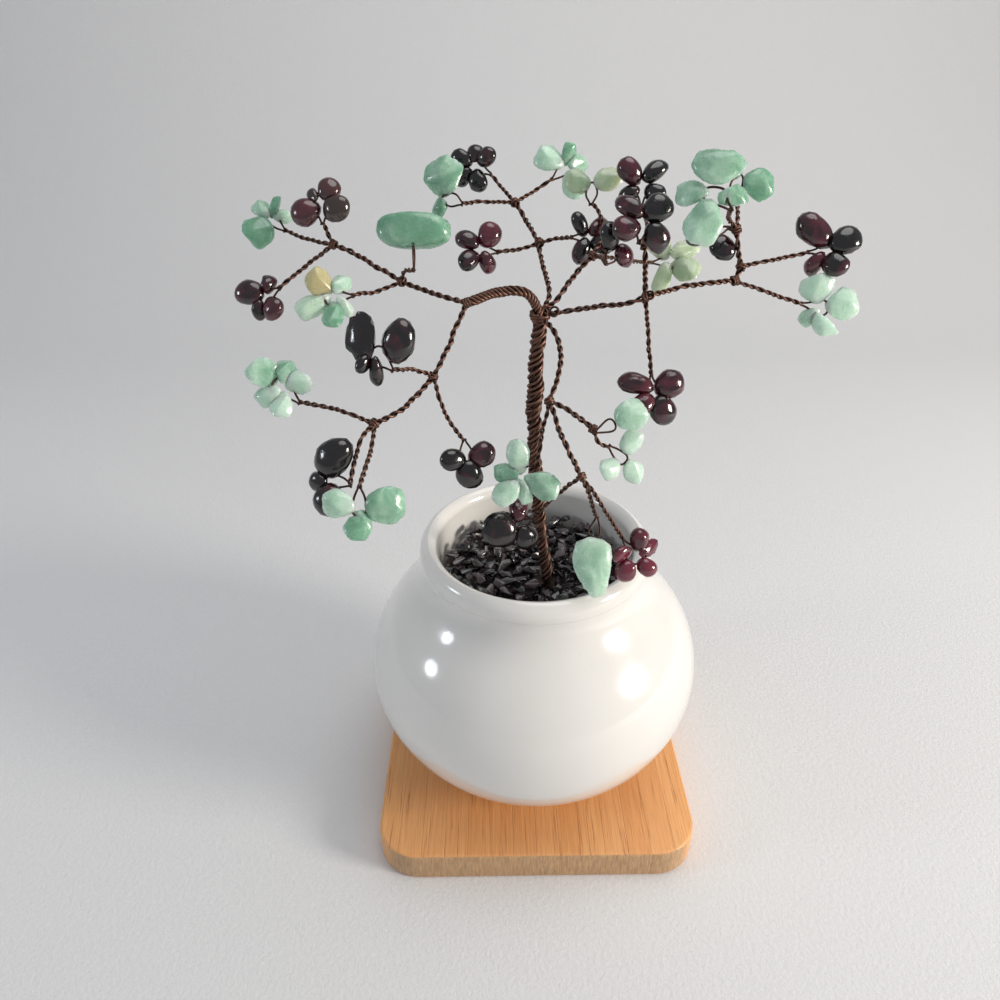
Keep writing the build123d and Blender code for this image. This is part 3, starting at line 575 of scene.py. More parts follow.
# %% Ceramic pot
pot_base = board_thickness
pot_height = 64.4 * MM
belly_radius = 40.0 * MM
belly_half_height = 31.3 * MM
belly_centre = 29.2 * MM
pot_wall = 3.6 * MM
floor_thickness = 4.5 * MM
foot_radius = 19.0 * MM
foot_inner = foot_radius - 3.6 * MM
foot_height = 1.6 * MM
drain_radius = 4.0 * MM
neck_radius = 25.4 * MM
sweep_radius = 31.0 * MM
lip_radius = 26.6 * MM
lip_height = 5.4 * MM
mouth_radius = 22.6 * MM
lip_widest = 0.55
neck_bore = neck_radius - pot_wall
foot_ease = 0.2 * MM
pot_crease = math.radians(35)
pot_segments = 160


def belly_points(wall, from_height, to_radius, count):
    """The belly's ellipse, drawn in by the wall, from a height up to a radius."""
    across = belly_radius - wall
    up = belly_half_height - wall
    first = math.asin((from_height - belly_centre) / up)
    last = math.acos(to_radius / across)
    turns = [first + (last - first) * step / count for step in range(count + 1)]
    return [(across * math.cos(turn), belly_centre + up * math.sin(turn)) for turn in turns]


def arc_through(start, middle, end, count):
    """Points on the circle through three places of an outline."""
    (ax, ay), (bx, by), (cx, cy) = start, middle, end
    scale = 2 * (ax * (by - cy) + bx * (cy - ay) + cx * (ay - by))
    a, b, c = ax**2 + ay**2, bx**2 + by**2, cx**2 + cy**2
    centre_x = (a * (by - cy) + b * (cy - ay) + c * (ay - by)) / scale
    centre_y = (a * (cx - bx) + b * (ax - cx) + c * (bx - ax)) / scale
    radius = math.hypot(ax - centre_x, ay - centre_y)
    first = math.atan2(ay - centre_y, ax - centre_x)
    middle_turn = (math.atan2(by - centre_y, bx - centre_x) - first) % math.tau
    last_turn = (math.atan2(cy - centre_y, cx - centre_x) - first) % math.tau
    if middle_turn > last_turn:
        last_turn -= math.tau
    turns = [first + last_turn * step / count for step in range(1, count + 1)]
    return [(centre_x + radius * math.cos(turn), centre_y + radius * math.sin(turn)) for turn in turns]


def swept(start, corner, end, count):
    """Points on the soft curve that runs into a corner and out of it."""
    points = []
    for step in range(1, count + 1):
        part = step / count
        weights = ((1 - part) ** 2, 2 * part * (1 - part), part**2)
        points.append(tuple(
            sum(weight * place[axis] for weight, place in zip(weights, (start, corner, end)))
            for axis in (0, 1)
        ))
    return points


lip_foot = pot_height - lip_height
lip_crest = (lip_radius + mouth_radius) / 2
lip_side = lip_foot + lip_widest * lip_height
lip_shoulder = (lip_crest - 0.7 * (lip_crest - mouth_radius), pot_height - 0.15 * lip_height)
outline = [
    (drain_radius, floor_thickness),
    (drain_radius, foot_height),
    (foot_inner, foot_height),
    (foot_inner, foot_ease),
    (foot_inner + foot_ease, 0.0),
    (foot_radius - foot_ease, 0.0),
    (foot_radius, foot_ease),
]
bare_rings = range(2, len(outline) - 1)
outline += belly_points(0.0, foot_height, sweep_radius, 40)
belly_slope = belly_half_height / belly_radius / math.tan(math.acos(sweep_radius / belly_radius))
sweep_corner = (neck_radius, outline[-1][1] + (sweep_radius - neck_radius) * belly_slope)
neck_line = swept(outline[-1], sweep_corner, (neck_radius, lip_foot), 10)
lip_line = arc_through(neck_line[-1], (lip_radius, lip_side), (lip_crest, pot_height), 14)
pooled_glaze = swept(neck_line[-3], neck_line[-1], lip_line[2], 8)
outline += neck_line[:-2] + pooled_glaze + lip_line[3:]
lip_end = (mouth_radius, pot_height - lip_widest * lip_height)
outline += arc_through(outline[-1], lip_shoulder, lip_end, 10)
outline += reversed(belly_points(pot_wall, floor_thickness, neck_bore, 30))

points = []
for radius, height in outline:
    for step in range(pot_segments):
        angle = math.tau * step / pot_segments
        points.append((radius * math.cos(angle), radius * math.sin(angle), pot_base + height))
faces = join_rings(len(outline), pot_segments)
last = (len(outline) - 1) * pot_segments
for step in range(pot_segments):
    following = (step + 1) % pot_segments
    faces.append((last + step, last + following, following, step))
pot = new_piece("turned_ceramic_pot", points, faces, glaze, "pot")
pot.data.materials.append(bisque)
for polygon in pot.data.polygons:
    polygon.material_index = 1 if polygon.index // pot_segments in bare_rings else 0
pot.data.set_sharp_from_angle(angle=pot_crease)
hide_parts("ceramic_pot")
print("Pot points:", len(pot.data.vertices))

# %% [markdown]
# ## Plaster under the gravel
#
# Between the gravel chips a little of the cast plaster shows, stained dark. The CAD solid has the
# right shape and nearly all of it is hidden, so it stays and only gets a better material.

# %% Plaster fill
fill_node = frame["nodes"]["plaster_fill"]
fill_node.data.materials.clear()
fill_node.data.materials.append(plaster)
print("Plaster dressed:", fill_node.name)

# %% [markdown]
# ## Stones as rounded blocks
#
# A chip of rock starts as a block with flat broken faces, and tumbling rounds it. The same can be
# done with one formula. Each flat face allows a certain reach in every direction, and the sharp
# block's reach is the least of them. A power mean of the faces' reaches is close to the least, but
# blends one face into the next. An egg shape with the block's own long axis is then mixed in: much
# of it for a tumbled garnet, little for a broken quartz chip. Subdividing the block's mesh would
# also round it, but long thin faces come out lumpy. The directions come from an icosphere, whose
# triangles are all about the same size, and the worn stone is stretched to fill the block's box.

# %% Directions of an even ball
def even_ball(subdivisions):
    """Directions spread evenly, and the triangles between them."""
    ball = bmesh.new()
    bmesh.ops.create_icosphere(ball, subdivisions=subdivisions, radius=1.0)
    directions = np.array([vertex.co[:] for vertex in ball.verts])
    triangles = [tuple(vertex.index for vertex in face.verts) for face in ball.faces]
    ball.free()
    return directions, triangles


smooth_ball, fine_ball = even_ball(3), even_ball(4)
print("Directions:", len(smooth_ball[0]), "or", len(fine_ball[0]))


# %% Helpers for stones
least_reach = 0.1 * MM
same_corner = 0.002 * MM
noise_stride = (7.31, 3.17, 1.73)
fine_lumps = 2.6
fine_share = 0.3


class Block:
    """A sharp block of stone: its middle, its flat faces and its own long, broad and thin axes."""

    def __init__(self, corners):
        hull = bmesh.new()
        for corner in corners:
            hull.verts.new(corner)
        bmesh.ops.convex_hull(hull, input=hull.verts)
        hull.normal_update()
        areas = np.array([face.calc_area() for face in hull.faces])
        middles = np.array([face.calc_center_median()[:] for face in hull.faces])
        self.middle = areas @ middles / areas.sum()
        planes = {}
        for face, place in zip(hull.faces, middles):
            normal = np.array(face.normal)
            reach = float(normal @ (place - self.middle))
            if reach < 0:
                normal, reach = -normal, -reach
            planes[tuple(normal.round(2))] = (normal, max(reach, least_reach))
        hull.free()
        self.normals = np.array([normal for normal, reach in planes.values()])
        self.reaches = np.array([reach for normal, reach in planes.values()])
        self.low, self.high = corners.min(axis=0), corners.max(axis=0)
        directions = smooth_ball[0]
        surface = directions / (directions @ self.normals.T / self.reaches).max(axis=1)[:, None]
        self.axes = np.linalg.svd(surface, full_matrices=False)[2]
        self.halves = np.ptp(surface @ self.axes.T, axis=0) / 2

    def outside(self, place):
        """How far a place lies outside, or less than nothing where it is inside."""
        return float((self.normals @ (np.array(place) - self.middle) - self.reaches).max())


def worn_stone(block, directions, form, seed, grow):
    """Points of a tumbled stone that fills a block."""
    power, roundness, bluntness, lump, lump_size = form
    share = np.maximum(directions @ block.normals.T, 0) / block.reaches
    blocky = (share**power).sum(axis=1) ** (-1 / power)
    along = np.abs(directions @ block.axes.T) / block.halves
    egg = (along**bluntness).sum(axis=1) ** (-1 / bluntness)
    shape = directions * ((1 - roundness) * blocky + roundness * egg)[:, None]
    offset = Vector([seed * stride for stride in noise_stride])
    swell = [noise.noise(Vector(point) / lump_size + offset) for point in shape]
    fine = [noise.noise(Vector(point) / lump_size * fine_lumps - offset) for point in shape]
    shape *= 1 + lump * (np.array(swell) + fine_share * np.array(fine))[:, None]
    low, high = shape.min(axis=0), shape.max(axis=0)
    shape = (shape - (low + high) / 2) * (block.high - block.low) / (high - low) * grow
    return (block.low + block.high) / 2 + shape


def loose_parts(mesh):
    """The corner places of each separate solid in a mesh, in the order they are stored."""
    shell = bmesh.new()
    shell.from_mesh(mesh)
    bmesh.ops.remove_doubles(shell, verts=shell.verts, dist=same_corner)
    seen, parts = set(), []
    for start in shell.verts:
        if start in seen:
            continue
        queue, part = [start], []
        seen.add(start)
        while queue:
            vertex = queue.pop()
            part.append(vertex.co[:])
            for edge in vertex.link_edges:
                other = edge.other_vert(vertex)
                if other not in seen:
                    seen.add(other)
                    queue.append(other)
        parts.append(np.array(part))
    shell.free()
    return parts


# %% [markdown]
# ## Gravel
#
# The gravel is dark broken chips, glossy as if wet, poured over the plaster. Real grains don't lie on
# a grid, but they do cover the ground evenly. Turning each next grain by the golden angle, as seeds
# sit in a sunflower, covers a disc without rows, and a seeded shake hides the pattern. Three such
# layers are laid, the top one of fewer and larger grains. Each grain is the hull of a few points,
# with its edges just taken off, because it is the narrow edge that catches a glint. A physics drop
# would also work, but it takes minutes and the heap would be no different to the eye.

# %% Gravel heap
gravel_top = 66.9 * MM
gravel_layers = ((3.9, 170, 1.35), (2.6, 140, 1.6), (1.3, 105, 1.85))
gravel_reach = 21.6 * MM
grain_edge = 0.07 * MM
grain_corners = 10
grain_crease = math.radians(30)
grain_tones = (0.15, 0.3, 0.4, 0.7)
rise_shake = 0.3
trunk_clearance = 1.7 * MM
trunk_foot = Vector((2.5, -7.0, 66.9)) * MM
golden_angle = math.radians(137.5)
dice = random.Random(11)


def broken_grain(centre, size):
    """Corners of one angular grain, turned at random."""
    spin = Matrix.Rotation(dice.uniform(0, math.tau), 3, "Z")
    turn = spin @ Matrix.Rotation(dice.uniform(-0.7, 0.7), 3, "X")
    stretch = Vector((dice.uniform(1.0, 1.55), dice.uniform(0.6, 1.0), dice.uniform(0.4, 0.7)))
    corners = []
    for corner in range(grain_corners):
        level = 1 - 2 * (corner + 0.5) / grain_corners
        around = golden_angle * corner + dice.uniform(-0.5, 0.5)
        flat = math.sqrt(1 - level * level)
        place = Vector((flat * math.cos(around), flat * math.sin(around), level))
        place *= dice.uniform(0.7, 1.1)
        place = Vector(part * share for part, share in zip(place, stretch))
        corners.append(centre + turn @ place * size)
    return corners


def chipped(corners):
    """The hull of some corners, with its edges taken off."""
    grain = bmesh.new()
    for corner in corners:
        grain.verts.new(corner)
    bmesh.ops.convex_hull(grain, input=grain.verts)
    inner = [vertex for vertex in grain.verts if not vertex.link_faces]
    bmesh.ops.delete(grain, geom=inner, context="VERTS")
    bmesh.ops.bevel(
        grain, geom=grain.edges[:], offset=grain_edge, segments=1, profile=0.5, affect="EDGES",
    )
    grain.verts.index_update()
    places = [vertex.co.copy() for vertex in grain.verts]
    sides = [tuple(vertex.index for vertex in face.verts) for face in grain.faces]
    grain.free()
    return places, sides


points, faces, tones = [], [], []
for depth, count, size in gravel_layers:
    for index in range(count):
        grain_size = size * dice.uniform(0.65, 1.2) * MM
        away = (gravel_reach - 0.8 * grain_size) * math.sqrt((index + 0.5) / count)
        around = golden_angle * index + depth + dice.uniform(-0.12, 0.12)
        middle = Vector((away * math.cos(around), away * math.sin(around), 0.0))
        middle.z = gravel_top - depth * MM + dice.uniform(-rise_shake, rise_shake) * MM
        if (middle.xy - trunk_foot.xy).length < trunk_clearance + 0.6 * grain_size:
            continue
        places, sides = chipped(broken_grain(middle, grain_size))
        faces += [tuple(corner + len(points) for corner in side) for side in sides]
        points += places
        tones += [dice.choice(grain_tones)] * len(places)
gravel = new_piece("broken_gravel", points, faces, dark_gravel, "pot")
gravel.data.set_sharp_from_angle(angle=grain_crease)
keep_value(gravel, "tone", tones)
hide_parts("gravel_chips")
print("Gravel points:", len(points))

# %% [markdown]
# ## Places in the tree
#
# The tree has no straight lines to measure from, so its places are kept as shares: of the crown's
# reach from the top of the trunk, or of the pot's mouth and the trunk's height for the low branch in
# front. Stones hang on a loop of wire, and each loop lies in its own plane, nearly square to the
# view from above. The tables repeat the CAD model's, because the wires have to pass through its
# stones.

# %% Measures of the tree
soil_height = 66.9 * MM
trunk_height = 58.1 * MM
crown_base = soil_height + trunk_height
crown_reach = 60.0 * MM
loop_radius = 2.0 * MM
stem_reach_share = 1.7
view_tilt = 31.6
wire_radius = 0.2 * MM


def crown_place(x_share, y_share, z_share):
    """A place in the crown."""
    return Vector((crown_reach * x_share, crown_reach * y_share, crown_base + crown_reach * z_share))


def front_place(x_share, y_share, z_share):
    """A place on the low front branch."""
    height = soil_height + trunk_height * z_share
    return Vector((mouth_radius * x_share, mouth_radius * y_share, height))


# %% Loops: middle, size share, stem direction and half gap, turn and tip, and the stones' spans
crown_loop_shares = {
    "far_left_green_chips": ((-0.89, 0.25, 0.24), 0.9, (325, 30), (15, 0), (0.7, 0.6, 0.9, 1.7)),
    "upper_left_garnets": ((-0.7, 0.18, 0.3), 1.0, (272, 28), (-10, 10), (1.0, 1.0, 0.6, 1.0)),
    "left_garnets": ((-0.9, 0.07, 0.03), 1.0, (25, 28), (-20, 0), (0.7, 1.2, 0.7, 1.1)),
    "left_quartz_chips": ((-0.64, -0.1, 0.08), 1.0, (10, 25), (10, -10), (0.8, 1.0, 1.0, 0.8, 0.6)),
    "middle_left_garnets": ((-0.49, -0.3, -0.03), 1.1, (315, 25), (0, 10), (1.1, 1.4, 0.6, 0.6)),
    "lower_left_green_chips": ((-0.78, -0.3, -0.13), 1.1, (317, 20), (10, 0), (1.1, 0.9, 1.0, 0.9, 0.9)),
    "low_left_garnets": ((-0.63, -0.48, -0.345), 1.1, (345, 28), (-15, 0), (1.3, 0.7, 1.0)),
    "low_left_green_chips": ((-0.53, -0.6, -0.37), 1.0, (90, 30), (10, 10), (1.0, 0.9, 1.2)),
    "inner_left_garnets": ((-0.24, -0.22, -0.42), 1.0, (100, 40), (15, 0), (1.0, 1.0, 1.0)),
    "back_top_garnets": ((-0.21, 0.53, 0.36), 1.1, (335, 18), (-15, 15), (0.9, 0.9, 0.9, 0.9, 1.0)),
    "upper_green_chip_pair": ((-0.3, 0.32, 0.29), 1.0, (335, 60), (-20, 0), (1.1, 1.0)),
    "upper_middle_garnets": ((-0.19, 0.18, 0.15), 1.0, (0, 22), (20, 0), (1.0, 1.0, 1.0, 0.9)),
    "top_green_chips": ((0.11, 0.47, 0.36), 1.0, (220, 25), (10, 10), (1.3, 0.8, 0.7, 1.1)),
    "pale_top_chips": ((0.18, 0.25, 0.33), 0.9, (268, 55), (-20, 0), (1.0, 1.0)),
    "crown_middle_garnets": ((0.17, 0.17, 0.19), 1.0, (185, 22), (10, -10), (0.9, 1.0, 1.1, 0.8)),
    "front_crown_garnet_pair": ((0.22, -0.06, 0.2), 0.9, (235, 60), (30, 0), (1.0, 1.0)),
    "high_right_garnets": ((0.33, 0.17, 0.35), 1.0, (270, 20), (-10, 10), (0.9, 1.1, 1.1, 0.9)),
    "right_crown_garnets": ((0.29, -0.1, 0.29), 1.0, (262, 22), (10, 0), (1.0, 1.0, 1.0, 1.0)),
    "high_right_green_chips": ((0.47, -0.18, 0.38), 1.1, (315, 18), (-10, 0), (0.7, 1.5, 0.9, 1.3)),
    "far_right_green_pair": ((0.66, 0.23, 0.35), 1.0, (230, 50), (15, 0), (1.1, 0.9)),
    "inner_right_garnets": ((0.55, 0.07, 0.22), 0.9, (22, 25), (0, 0), (0.8, 1.0, 1.1)),
    "pale_back_chips": ((0.51, 0.45, 0.04), 1.1, (178, 22), (-15, -10), (1.0, 1.0, 1.0, 1.0)),
    "far_right_garnets": ((0.92, 0.05, 0.17), 1.0, (180, 15), (-20, 0), (0.6, 1.0, 1.2, 1.0)),
    "right_green_chips": ((0.9, -0.03, 0.01), 1.0, (165, 18), (-15, 0), (0.7, 0.9, 1.2, 1.1)),
    "middle_right_garnets": ((0.37, -0.14, -0.235), 1.0, (100, 20), (15, 0), (0.8, 0.9, 1.1, 1.2)),
    "long_green_stone": ((-0.39, -0.03, 0.2), 1.0, (270, 112), (90, 0), (1.0,)),
}
front_loop_shares = {
    "front_green_chips": ((0.66, -0.84, 0.615), 0.9, (140, 28), (15, 0), (1.0, 1.0, 1.1)),
    "trunk_green_chips": ((-0.17, -0.8, 0.54), 1.1, (35, 22), (-10, 0), (1.1, 0.8, 0.8, 0.6, 1.0)),
    "low_front_garnets": ((-0.2, -0.66, 0.31), 1.0, (20, 20), (10, 0), (0.9, 1.4, 1.1)),
    "lip_garnets": ((0.86, -0.84, 0.225), 1.1, (130, 18), (15, 0), (0.8, 1.0, 1.0, 0.8, 0.9)),
    "front_loose_green_stone": ((0.56, -0.82, 0.73), 0.9, (205, 112), (0, 0), (1.0,)),
    "hanging_green_stone": ((0.47, -0.88, 0.33), 0.9, (80, 112), (0, 0), (1.0,)),
}


class Loop:
    """Where a loop of wire bends, and where its twig ends."""

    def __init__(self, centre, size_share, stem_row, facing, spans):
        stem, half_gap = stem_row
        turn, tip = facing
        tilt = Matrix.Rotation(math.radians(90 - view_tilt + tip), 3, "X")
        self.face = tilt @ Matrix.Rotation(math.radians(turn), 3, "Y")
        self.centre = centre
        radius = loop_radius * size_share
        self.twig_end = self.around(stem, radius * stem_reach_share)
        self.side = self.around(stem + 90, wire_radius) - centre
        angles = [stem + half_gap]
        for span in spans:
            angles.append(angles[-1] + (360 - 2 * half_gap) * span / sum(spans))
        self.corners = [self.around(angle, radius) for angle in angles]

    def around(self, angle, radius):
        """A place on the loop's face."""
        turned = math.radians(angle)
        away = Vector((radius * math.cos(turned), radius * math.sin(turned), 0))
        return self.centre + self.face @ away


loops = {name: Loop(crown_place(*row[0]), *row[1:]) for name, row in crown_loop_shares.items()}
loops.update({name: Loop(front_place(*row[0]), *row[1:]) for name, row in front_loop_shares.items()})
print("Loops:", len(loops))

# %% [markdown]
# ## Strung stones
#
# Each CAD node holds the blocks of one cluster. Every block becomes a worn stone of its own, and a
# Boolean modifier drills it. The hole follows the straight stretch of wire between two bends of the
# loop, which is how a bead lies on its wire. The tables below give the few stones of their own
# kind: a girth along X, Y and Z as a share of the block's, a range from deep to pale, or a share
# of a warmer colour mixed evenly into the whole stone. A stone that swings is kept a little slimmer,
# so that it misses its neighbours.

# %% Helper for drilled stones
bore_radius = 0.36 * MM
bit_sides = 14
bit_length = 16 * MM
stone_crease = math.radians(50)
crowded = 1.06
free_to_swing = 0.98
natural = (1.0, 1.0, 1.0)
stone_forms = {
    "garnet": (8.0, 0.55, 2.2, 0.08, 2.8 * MM),
    "green_quartz": (13.0, 0.2, 2.8, 0.09, 2.6 * MM),
    "pale_quartz": (11.0, 0.28, 2.6, 0.09, 2.6 * MM),
    "long": (14.0, 0.65, 3.2, 0.07, 2.6 * MM),
    "hanging": (9.0, 0.35, 2.6, 0.1, 3.4 * MM),
}
own_forms = {"long_green_stone": "long", "hanging_green_stone": "hanging"}
hanging_taper = 0.5
hanging_lean = 0.2
stone_finishes = {"garnet": garnet, "green_quartz": green_quartz, "pale_quartz": pale_quartz}
own_girths = {
    "middle_left_garnets": ((0.76, 1.0, 1.12),),
    "hanging_green_stone": ((1.12, 1.0, 1.04),),
    "lip_garnets": ((0.93, 0.93, 0.93),),
    "front_green_chips": ((0.91, 0.91, 0.91),),
    "front_loose_green_stone": ((0.89, 0.89, 0.89),),
    "high_right_green_chips": (natural, (1.0, 1.0, 0.74), (0.85, 1.0, 0.9), natural),
}
warm_nodes = {"upper_left_garnets": (0.7, 0.5, 0.6, 0.2), "left_quartz_chips": (0.0, 0.9, 0.1)}
slot_tones = {"garnet": (0.05, 0.5), "green_quartz": (0.25, 0.85), "pale_quartz": (0.25, 0.85)}
own_tones = {
    "left_garnets": (0.3, 0.7),
    "middle_left_garnets": (0.0, 0.35),
    "low_left_garnets": (0.0, 0.3),
    "back_top_garnets": (0.0, 0.35),
    "lip_garnets": (0.5, 0.95),
    "middle_right_garnets": (0.3, 0.65),
    "upper_middle_garnets": (0.3, 0.6),
    "far_right_garnets": (0.1, 0.55),
    "front_loose_green_stone": (0.6, 1.0),
    "right_green_chips": (0.6, 1.0),
    "front_green_chips": (0.5, 1.0),
    "far_left_green_chips": (0.0, 0.5),
    "lower_left_green_chips": (0.4, 0.9),
}


def drilled(shape, triangles, start, stop):
    """A stone's mesh with a round hole cut along its stretch of wire."""
    stone_mesh = bpy.data.meshes.new("stone")
    stone_mesh.from_pydata([tuple(point) for point in shape], [], triangles)
    drill_mesh = bpy.data.meshes.new("drill")
    along = (stop - start).normalized()
    place = Matrix.Translation((start + stop) / 2) @ along.to_track_quat("Z", "Y").to_matrix().to_4x4()
    bit = bmesh.new()
    bmesh.ops.create_cone(
        bit, cap_ends=True, segments=bit_sides, radius1=bore_radius, radius2=bore_radius,
        depth=bit_length, matrix=place,
    )
    bit.to_mesh(drill_mesh)
    bit.free()
    stone = bpy.data.objects.new("stone", stone_mesh)
    drill = bpy.data.objects.new("drill", drill_mesh)
    for thing in (stone, drill):
        bpy.context.collection.objects.link(thing)
    cut = stone.modifiers.new("hole", "BOOLEAN")
    cut.operation = "DIFFERENCE"
    cut.solver = "EXACT"
    cut.object = drill
    seen = stone.evaluated_get(bpy.context.evaluated_depsgraph_get())
    result = bpy.data.meshes.new_from_object(seen)
    for thing in (stone, drill):
        bpy.data.objects.remove(thing)
    return result


def tapered(shape):
    """The hanging stone narrows towards its foot and leans to the right."""
    low, high = shape.min(axis=0), shape.max(axis=0)
    down = (high[2] - shape[:, 2]) / (high[2] - low[2])
    middle, width = (low[0] + high[0]) / 2, high[0] - low[0]
    narrowed = (shape[:, 0] - middle) * (1 - hanging_taper * down)
    shape = shape.copy()
    shape[:, 0] = middle + narrowed + hanging_lean * width * down
    return shape


def strung_stones(node, slot, body):
    """The worn, drilled stones that stand for one CAD node."""
    form = stone_forms[own_forms.get(node, slot)]
    directions, triangles = smooth_ball if slot == "garnet" else fine_ball
    corners = loops[node].corners
    blocks = [Block(part) for part in loose_parts(frame["nodes"][node].data)]
    toss = random.Random(node)
    darkest, lightest = own_tones.get(node, slot_tones[slot])
    crowd = crowded if body == "pot" else free_to_swing
    girths = own_girths.get(node, (natural,))
    warmths = warm_nodes.get(node, ()) + (0.0,) * len(blocks)
    points, faces, tones, warmth = [], [], [], []
    for index, (start, stop, warm) in enumerate(zip(corners, corners[1:], warmths)):
        grow = crowd * np.array(girths[index % len(girths)])
        block = min(blocks, key=lambda each: each.outside((start + stop) / 2))
        shape = worn_stone(block, directions, form, toss.uniform(0, 90), grow)
        if node == "hanging_green_stone":
            shape = tapered(shape)
        mesh = drilled(shape, triangles, start, stop)
        faces += [tuple(corner + len(points) for corner in face.vertices) for face in mesh.polygons]
        points += [vertex.co[:] for vertex in mesh.vertices]
        tones += [toss.uniform(darkest, lightest)] * len(mesh.vertices)
        warmth += [warm] * len(mesh.vertices)
    piece = new_piece("worn_" + node, points, faces, stone_finishes[slot], body)
    piece.data.set_sharp_from_angle(angle=stone_crease)
    keep_value(piece, "tone", tones)
    keep_value(piece, "warmth", warmth)
    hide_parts(node)
    return piece


# %% Stones on every loop
garnet_nodes = [name for name in loops if "garnet" in name]
pale_nodes = ["pale_top_chips", "pale_back_chips"]
green_nodes = [name for name in loops if name not in garnet_nodes and name not in pale_nodes]
stone_points = 0
strings = {"garnet": garnet_nodes, "green_quartz": green_nodes, "pale_quartz": pale_nodes}
for slot, names in strings.items():
    for node in names:
        body = node if node in frame["bodies"] else "pot"
        stone_points += len(strung_stones(node, slot, body).data.vertices)
print("Stone points:", stone_points)

# %% [markdown]
# ## Wire that is twisted, not drawn twisted
#
# A twisted pair looks right only if it is two round wires that really turn about each other: the
# light catches one side of each turn, and dark gaps run between. A bump map on a single tube goes
# flat at the outline. So every wire here is a tube along its own helix. A soft curve gives the
# branch's line, a frame is carried along it without spinning, and each wire turns round in that
# frame. Fingers leave three kinds of unevenness, each taken from smooth noise: the line wavers
# between its two ends, the turns come closer or wider over a turn or so, and the wires lie tighter
# or looser. Each point also stores how far it faces away from the bundle's middle. There fingers
# and cloth wear the oxide off, and the same value paints a sheen on that outer side and painted
# shade on the side that faces the other wires.
#
# Blender starts noise_vector from the clock unless it is given a seed, and then the wires would
# waver differently in every run. The seed keeps them the same.

# %% Helpers for wire
curve_parts = 14
waver_seed = 5
waver_length = 2.4 * MM
usual_waver = 0.22 * MM
usual_unevenness = 2.2
turn_run, slack_run = 1.3, 0.9
slackness = 0.3
tube_sides = 8
even_wear_and_sheen = 0.55
noise.seed_set(waver_seed)


def run_lengths(path):
    """How far along a path each of its points lies."""
    return np.concatenate(([0.0], np.cumsum(np.linalg.norm(np.diff(path, axis=0), axis=1))))


def soft_route(places, step):
    """Even steps along the curve that touches the middle of each run between the places."""
    corners = [np.array(place) for place in places]
    middles = [(first + second) / 2 for first, second in zip(corners, corners[1:])]
    dense = [corners[0]]
    for first, corner, second in zip(middles, corners[1:-1], middles[1:]):
        for part in np.arange(0, 1, 1 / curve_parts):
            dense.append((1 - part) ** 2 * first + 2 * part * (1 - part) * corner + part**2 * second)
    dense += [middles[-1], corners[-1]]
    dense = np.array(dense)
    lengths = run_lengths(dense)
    even = np.linspace(0, lengths[-1], max(3, round(lengths[-1] / step)) + 1)
    return np.stack([np.interp(even, lengths, dense[:, axis]) for axis in range(3)], axis=1)


def carried_frame(path):
    """Two directions square to a path, carried along it without spinning."""
    along = np.gradient(path, axis=0)
    along /= np.linalg.norm(along, axis=1, keepdims=True)
    start = np.cross(along[0], (0.3, 0.2, 1.0))
    sides = [start / np.linalg.norm(start)]
    for direction in along[1:]:
        side = sides[-1] - direction * (sides[-1] @ direction)
        sides.append(side / np.linalg.norm(side))
    sides = np.array(sides)
    return sides, np.cross(along, sides)


def unsteady(path, waver):
    """The path as a hand leaves it, wavering a little between its two ends."""
    steps = run_lengths(path)
    spot = 900 * path[0].sum()
    places = [Vector((step / waver_length, spot, 0.0)) for step in steps]
    drift = np.array([noise.noise_vector(place)[:] for place in places])
    hold = np.sin(math.pi * steps / steps[-1]).clip(0)[:, None] ** 0.5
    return path + waver * hold * drift


def hand_noise(steps, spot, other):
    """Smooth noise along a line, at a spot that differs from wire to wire."""
    return np.array([noise.noise((step, spot, other)) for step in steps])


def twisted(
    path, count, offset, pitch, end_side=None, unevenness=usual_unevenness, waver=usual_waver,
):
    """Paths of wires that turn about one path, each with its outward directions."""
    path = unsteady(path, waver)
    sides, ups = carried_frame(path)
    steps = run_lengths(path)
    turn = math.tau * steps / pitch
    spot = 1700 * path[0].sum()
    turn += unevenness * hand_noise(steps / (turn_run * pitch), spot, 0.0)
    slack = 1 + slackness * hand_noise(steps / (slack_run * pitch), 0.0, spot)[:, None]
    if end_side is not None:
        end_turn = math.atan2(float(ups[-1] @ end_side), float(sides[-1] @ end_side))
        turn += end_turn - turn[-1]
    wires = []
    for index in range(count):
        angle = (turn + math.tau * index / count)[:, None]
        outward = np.cos(angle) * sides + np.sin(angle) * ups
        wires.append((path + offset * slack * outward, outward))
    return wires


